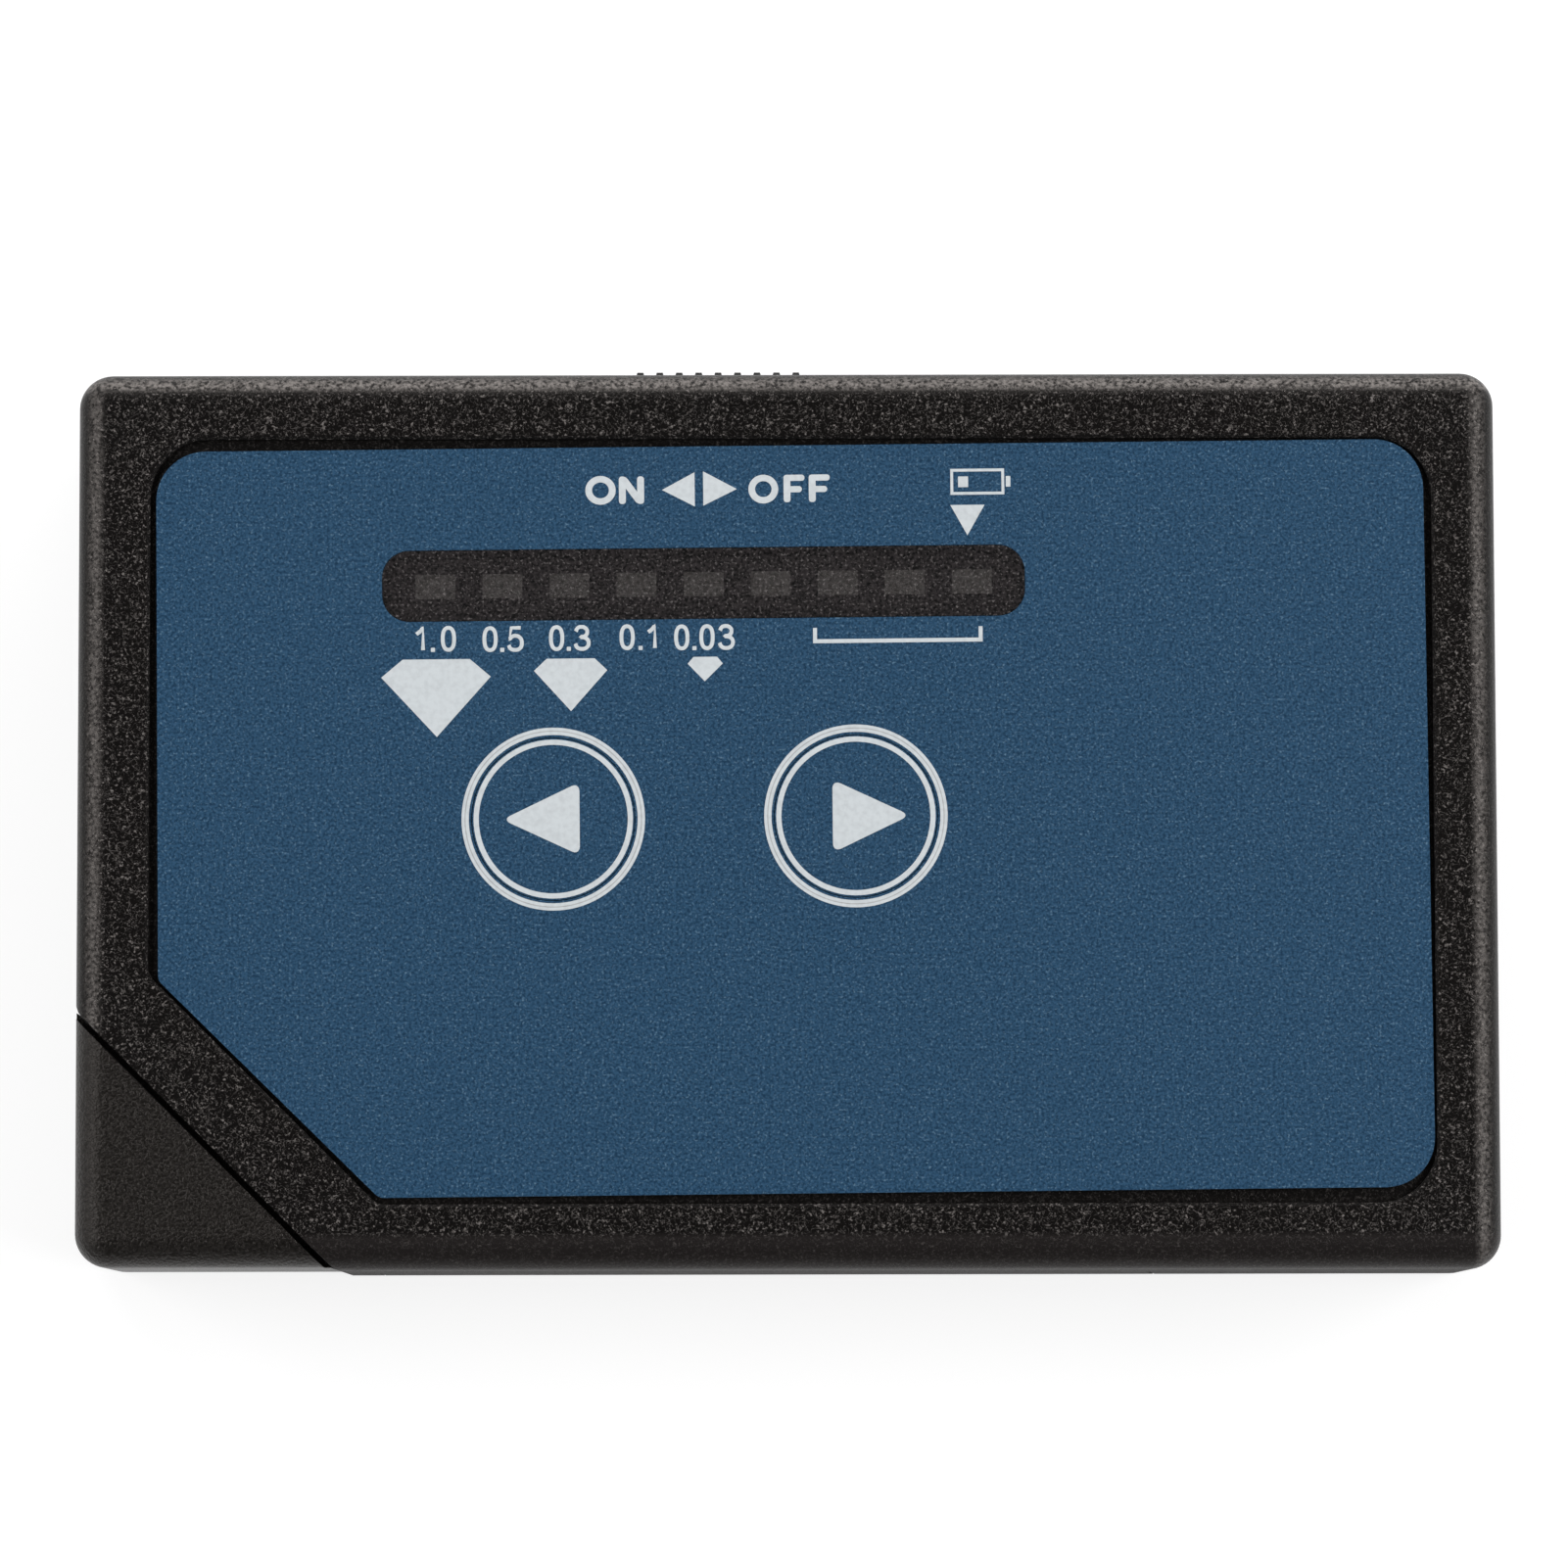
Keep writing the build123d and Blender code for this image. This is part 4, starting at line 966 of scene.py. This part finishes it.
    def lay_number(self, name: str, digits: str, middle: Point, width: float, height: float) -> None:
        """Print a number with its decimal point.

        Args:
            name: Start of the pieces' names.
            digits: The number.
            middle: Middle of the number.
            width: Its whole width.
            height: Its height.
        """
        widths = [self.dot if digit == "." else NUMERALS[digit].width for digit in digits]
        gap = (width - sum(widths)) / (len(digits) - 1)
        left = middle[0] - width / 2
        bottom = middle[1] - height / 2
        for place, (digit, step) in enumerate(zip(digits, widths)):
            if digit == ".":
                square = box_points((left, bottom), (left + self.dot, bottom + self.dot))
                shape = self.plate(square, self.dot_rounding)
            else:
                shape = self.stroke(NUMERALS[digit], left, bottom, height)
            self.lay(f"{name}_{place}", shape)
            left += step + gap


@dataclass
class FacePrint:
    """Printed legends of the face.

    Attributes:
        shop: Where the print is made.
        key_middle_x: Middle between the two keys.
        key_spacing: Distance between the keys.
        key_row_y: Height of the key row.
        outer_ring: Outer and inner radius of a key's outer ring.
        emboss_shade_line: Outer and inner radius of the line of painted shade in it, darker ink for the
            shade of the ring's emboss.
        inner_ring: Outer and inner radius of a key's inner ring.
        arrow_shift: How far both arrows are printed off their keys' middles, towards +X.
        arrow_tip: Distance of an arrow's tip from its middle.
        arrow_base: Distance of its base from its middle.
        arrow_half: Half the height of its base.
        arrow_rounding: Rounding of its corners.
        number_height: Height of the numbers.
        letter_bottom: Lower side of the switch words.
        letter_rounding: Rounding of their corners.
        letter_o: Outer and inner radius of a letter O.
        letter_n: Corners of a letter N, from its lower left one.
        letter_f: Corners of a letter F, from its lower left one.
        figure_wall: Width of the lines of the battery figure and the bracket.
    """

    shop: PrintShop
    key_middle_x: float = -5.74
    key_spacing: float = 19.6
    key_row_y: float = 0.09
    outer_ring: Point = (5.944, 5.468)
    emboss_shade_line: Point = (5.75, 5.68)
    inner_ring: Point = (5.163, 4.823)
    arrow_shift: float = 0.1
    arrow_tip: float = 3.41
    arrow_base: float = 1.605
    arrow_half: float = 2.37
    arrow_rounding: float = 0.57
    number_height: float = 1.69
    letter_bottom: float = 20.58
    letter_rounding: float = 0.19
    letter_o: Point = (0.94, 0.52)
    letter_n: tuple[Point, ...] = (
        (0, 0), (0.45, 0), (0.45, 1.008), (1.19, 0), (1.64, 0), (1.64, 1.8), (1.19, 1.8), (1.19, 0.792),
        (0.45, 1.8), (0, 1.8),
    )
    letter_f: tuple[Point, ...] = (
        (0, 0), (0.45, 0), (0.45, 0.648), (1.1919, 0.648), (1.1919, 1.053), (0.45, 1.053),
        (0.45, 1.395), (1.37, 1.395), (1.37, 1.8), (0, 1.8),
    )
    figure_wall: float = 0.26

    def key_prints(self) -> None:
        """Print the rings and the arrow of each key."""
        y = self.key_row_y
        (outer, inner), (shade_line_outer, shade_line_inner) = self.outer_ring, self.emboss_shade_line
        for side, body in ((-1, Body.LEFT_KEY), (1, Body.RIGHT_KEY)):
            x = self.key_middle_x + side * self.key_spacing / 2
            rings = (
                ("outer_ring", (outer, shade_line_outer), Body.CASE, Finish.INK),
                # The middle line of the outer ring is painted shade, in darker ink, for the shade of the
                # emboss.
                ("emboss_shade_line", self.emboss_shade_line, Body.CASE, Finish.EMBOSS_SHADE_INK),
                ("middle_ring", (shade_line_inner, inner), Body.CASE, Finish.INK),
                ("inner_ring", self.inner_ring, body, Finish.INK),
            )
            for part, radii, rider, finish in rings:
                self.shop.lay(f"{body.value}_{part}", self.shop.ring((x, y), radii), rider, finish)
            middle = x + self.arrow_shift
            base = middle - side * self.arrow_base
            arrow = [
                (middle + side * self.arrow_tip, y),
                (base, y + side * self.arrow_half),
                (base, y - side * self.arrow_half),
            ]
            self.shop.lay(f"{body.value}_arrow", self.shop.plate(arrow, self.arrow_rounding), body)

    def gem_prints(self) -> None:
        """Print the three gem figures under the lights."""
        gems = {
            "large_gem": ((-25.23, -20.87), 10.565, (-26.63, -19.52), 9.405, (-23.04, 5.505)),
            "medium_gem": ((-15.89, -12.77), 10.525, (-16.72, -11.96), 9.745, (-14.33, 7.095)),
            "small_gem": ((-6.36, -4.83), 10.545, (-6.74, -4.46), 10.105, (-5.64, 8.945)),
        }
        for name, (table, table_y, girdle, girdle_y, point) in gems.items():
            outline = [
                (table[0], table_y), (girdle[0], girdle_y), point,
                (girdle[1], girdle_y), (table[1], table_y),
            ]
            self.shop.lay(name, self.shop.plate(outline))

    def number_prints(self) -> None:
        """Print the number under each of the first five lights."""
        numbers = {
            "number_one": ("1.0", (-23.105, 11.895), 2.7),
            "number_half": ("0.5", (-18.705, 11.845), 2.68),
            "number_three_tenths": ("0.3", (-14.375, 11.865), 2.7),
            "number_tenth": ("0.1", (-9.94, 11.875), 2.42),
            "number_three_hundredths": ("0.03", (-5.635, 11.825), 3.94),
        }
        for name, (digits, middle, width) in numbers.items():
            self.shop.lay_number(name, digits, middle, width, self.number_height)

    def letter(self, left: float, outline: tuple[Point, ...]) -> Shape:
        """Shape one letter of the switch words.

        Args:
            left: Left side of the letter.
            outline: Its corners, from its lower left one.

        Returns:
            The letter.
        """
        points = [(left + x, self.letter_bottom + y) for x, y in outline]
        return self.shop.plate(points, self.letter_rounding)

    def switch_prints(self) -> None:
        """Print the words and the two triangles of the switch."""
        shop = self.shop
        shapes = {
            "on_letter_o": shop.ring((-12.3, 21.49), self.letter_o, stretch=1.05),
            "on_letter_n": self.letter(-11.105, self.letter_n),
            "off_letter_o": shop.ring((-1.715, 21.46), self.letter_o, stretch=1.03),
            "off_first_f": self.letter(-0.4, self.letter_f),
            "off_second_f": self.letter(1.24, self.letter_f),
            "on_triangle": shop.plate([(-8.305, 21.475), (-6.175, 20.365), (-6.175, 22.615)]),
            "off_triangle": shop.plate([(-3.435, 21.485), (-5.625, 22.665), (-5.625, 20.415)]),
        }
        for name, shape in shapes.items():
            shop.lay(name, shape)

    def mark_prints(self) -> None:
        """Print the low battery's mark over the last light, and the bracket under the last three."""
        shop = self.shop
        wall = self.figure_wall
        (left, bottom), (right, top) = (1.41, 11.35), (12.42, 12.35)
        bracket = [
            (left, bottom), (right, bottom), (right, top), (right - wall, top),
            (right - wall, bottom + wall), (left + wall, bottom + wall), (left + wall, top), (left, top),
        ]
        shapes = {
            "battery_pointer": shop.plate([(10.425, 20.285), (11.515, 18.295), (12.655, 20.285)]),
            "battery_figure": shop.frame_plate((10.45, 20.95), (13.95, 22.65), wall),
            "battery_figure_end": shop.plate(box_points((14.05, 21.45), (14.35, 22.15))),
            "battery_figure_charge": shop.plate(box_points((10.95, 21.45), (11.6, 22.15))),
            "light_group_bracket": shop.plate(bracket),
        }
        for name, shape in shapes.items():
            shop.lay(name, shape)

    def build(self) -> None:
        """Print the whole face."""
        self.key_prints()
        self.gem_prints()
        self.number_prints()
        self.switch_prints()
        self.mark_prints()


@dataclass(frozen=True)
class Lamp:
    """Soft rectangular lamp that faces the tester.

    Attributes:
        name: Its name.
        place: Its middle, in metres.
        size: Its width and height, in metres.
        power: Its power, in watts.
    """

    name: str
    place: tuple[float, float, float]
    size: Point
    power: float

    def hang(self) -> None:
        """Hang the lamp in its place."""
        data = bpy.data.lights.new(self.name, "AREA")
        data.shape = "RECTANGLE"
        data.size, data.size_y = self.size
        data.energy = self.power
        lamp = bpy.data.objects.new(self.name, data)
        back = Vector(self.place).normalized()
        level = Vector((0, 0, 1)).cross(back).normalized()
        turn = Matrix((level, back.cross(level), back)).transposed().to_4x4()
        lamp.matrix_world = Matrix.Translation(self.place) @ turn
        lamp.visible_camera = False
        bpy.context.scene.collection.objects.link(lamp)


@dataclass
class Studio:
    """Floor, world, lamps and camera.

    Attributes:
        distance: Distance of the camera from the point that it looks at.
        tilt: Lean of the camera towards -Y, in degrees.
        roll: Roll of the camera, in degrees.
        aim: Point that the camera looks at.
        pixels_per_mm: Scale of the photograph at that point.
        frame_pixels: Width of the photograph, in pixels.
        sensor: Width of the sensor.
        floor_drop: How far the floor lies below the tester.
        paper: Colour of the floor.
        paper_lift: Light that the floor adds for rays that show the background.
        horizon_light: Strength of the world's light at the horizon.
        overhead_light: Strength of the world's light overhead.
        overhead_start: Sine of the elevation from which the overhead light holds.
        lamps: The three lamps.
    """

    distance: float = 480.0
    tilt: float = 4.9
    roll: float = -0.1147
    aim: tuple[float, float, float] = (-0.195, 2.22, 16.0)
    pixels_per_mm: float = 15.766
    frame_pixels: float = 1601.0
    sensor: float = 36.0
    floor_drop: float = 0.05
    paper: Colour = grey(0.35)
    paper_lift: float = 0.75
    horizon_light: float = 0.6
    overhead_light: float = 0.06
    overhead_start: float = 0.6
    lamps: tuple[Lamp, ...] = (
        Lamp("left_lamp", (-0.59, 0.0, 0.53), (0.7, 0.28), 3.1),
        Lamp("right_lamp", (0.59, 0.0, 0.53), (0.6, 0.22), 4.2),
        Lamp("back_lamp", (0.0, 0.55, 0.32), (0.9, 0.3), 3.2),
    )

    def camera(self) -> None:
        """Set the camera where the photograph was taken from."""
        data = bpy.data.cameras.new("camera")
        data.sensor_fit = "HORIZONTAL"
        data.sensor_width = self.sensor
        data.lens = self.pixels_per_mm * self.distance / self.frame_pixels * self.sensor
        data.clip_start = 0.01
        data.clip_end = 10.0
        camera = bpy.data.objects.new("camera", data)
        lean = math.radians(self.tilt)
        turn = math.radians(self.roll)
        back = Vector((0, -math.sin(lean), math.cos(lean)))
        up = Vector((0, math.cos(lean), math.sin(lean)))
        right = Vector((1, 0, 0))
        rolled_right = right * math.cos(turn) + up * math.sin(turn)
        rolled_up = up * math.cos(turn) - right * math.sin(turn)
        place = (Vector(self.aim) + back * self.distance) * MM
        turned = Matrix((rolled_right, rolled_up, back)).transposed()
        camera.matrix_world = Matrix.Translation(place) @ turned.to_4x4()
        bpy.context.scene.collection.objects.link(camera)
        bpy.context.scene.camera = camera

    def paper_material(self) -> bpy.types.Material:
        """Return the floor's material, white where it shows as the background."""
        recipe = Recipe("floor_paper")
        recipe.surface(roughness=0.9, specular=0.1)
        inputs = recipe.shader.inputs
        inputs["Base Color"].default_value = (*self.paper, 1)
        inputs["Emission Color"].default_value = (1, 1, 1, 1)
        rays = recipe.add("ShaderNodeLightPath")
        seen = recipe.compute("MAXIMUM", rays.outputs["Is Camera Ray"], rays.outputs["Is Glossy Ray"])
        seen_through = recipe.compute("MAXIMUM", seen, rays.outputs["Is Transmission Ray"])
        lift = recipe.compute("MULTIPLY", seen_through, self.paper_lift)
        recipe.feed(inputs["Emission Strength"], lift)
        return recipe.material

    def floor(self) -> None:
        """Lay the pale floor under the tester."""
        shape = bmesh.new()
        bmesh.ops.create_grid(shape, x_segments=1, y_segments=1, size=2.0)
        bmesh.ops.translate(shape, vec=(0, 0, -self.floor_drop * MM), verts=shape.verts)
        floor = add_piece("floor", shape)
        floor.data.materials.append(self.paper_material())

    def sky(self) -> None:
        """Light the world evenly near the horizon and dimly overhead."""
        world = bpy.data.worlds.new("studio")
        bpy.context.scene.world = world
        world.use_nodes = True
        tree = world.node_tree
        background = tree.nodes["Background"]
        background.inputs["Color"].default_value = (1, 1, 1, 1)
        direction = tree.nodes.new("ShaderNodeTexCoord")
        axes = tree.nodes.new("ShaderNodeSeparateXYZ")
        fade = tree.nodes.new("ShaderNodeMapRange")
        fade.inputs["From Max"].default_value = self.overhead_start
        fade.inputs["To Min"].default_value = self.horizon_light
        fade.inputs["To Max"].default_value = self.overhead_light
        tree.links.new(direction.outputs["Generated"], axes.inputs["Vector"])
        tree.links.new(axes.outputs["Z"], fade.inputs["Value"])
        tree.links.new(fade.outputs["Result"], background.inputs["Strength"])

    def build(self) -> None:
        """Set up the whole studio."""
        bpy.context.scene.view_settings.view_transform = "Standard"
        self.camera()
        self.floor()
        self.sky()
        for lamp in self.lamps:
            lamp.hang()


def main() -> None:
    """Dress the frame, print the face and set the studio."""
    logging.basicConfig(level=logging.INFO)
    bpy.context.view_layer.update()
    wardrobe = Wardrobe()
    wardrobe.dress_frame()
    ProbeSpring(wardrobe).build()
    FacePrint(PrintShop(wardrobe)).build()
    Studio().build()


if __name__ == "__main__":
    main()
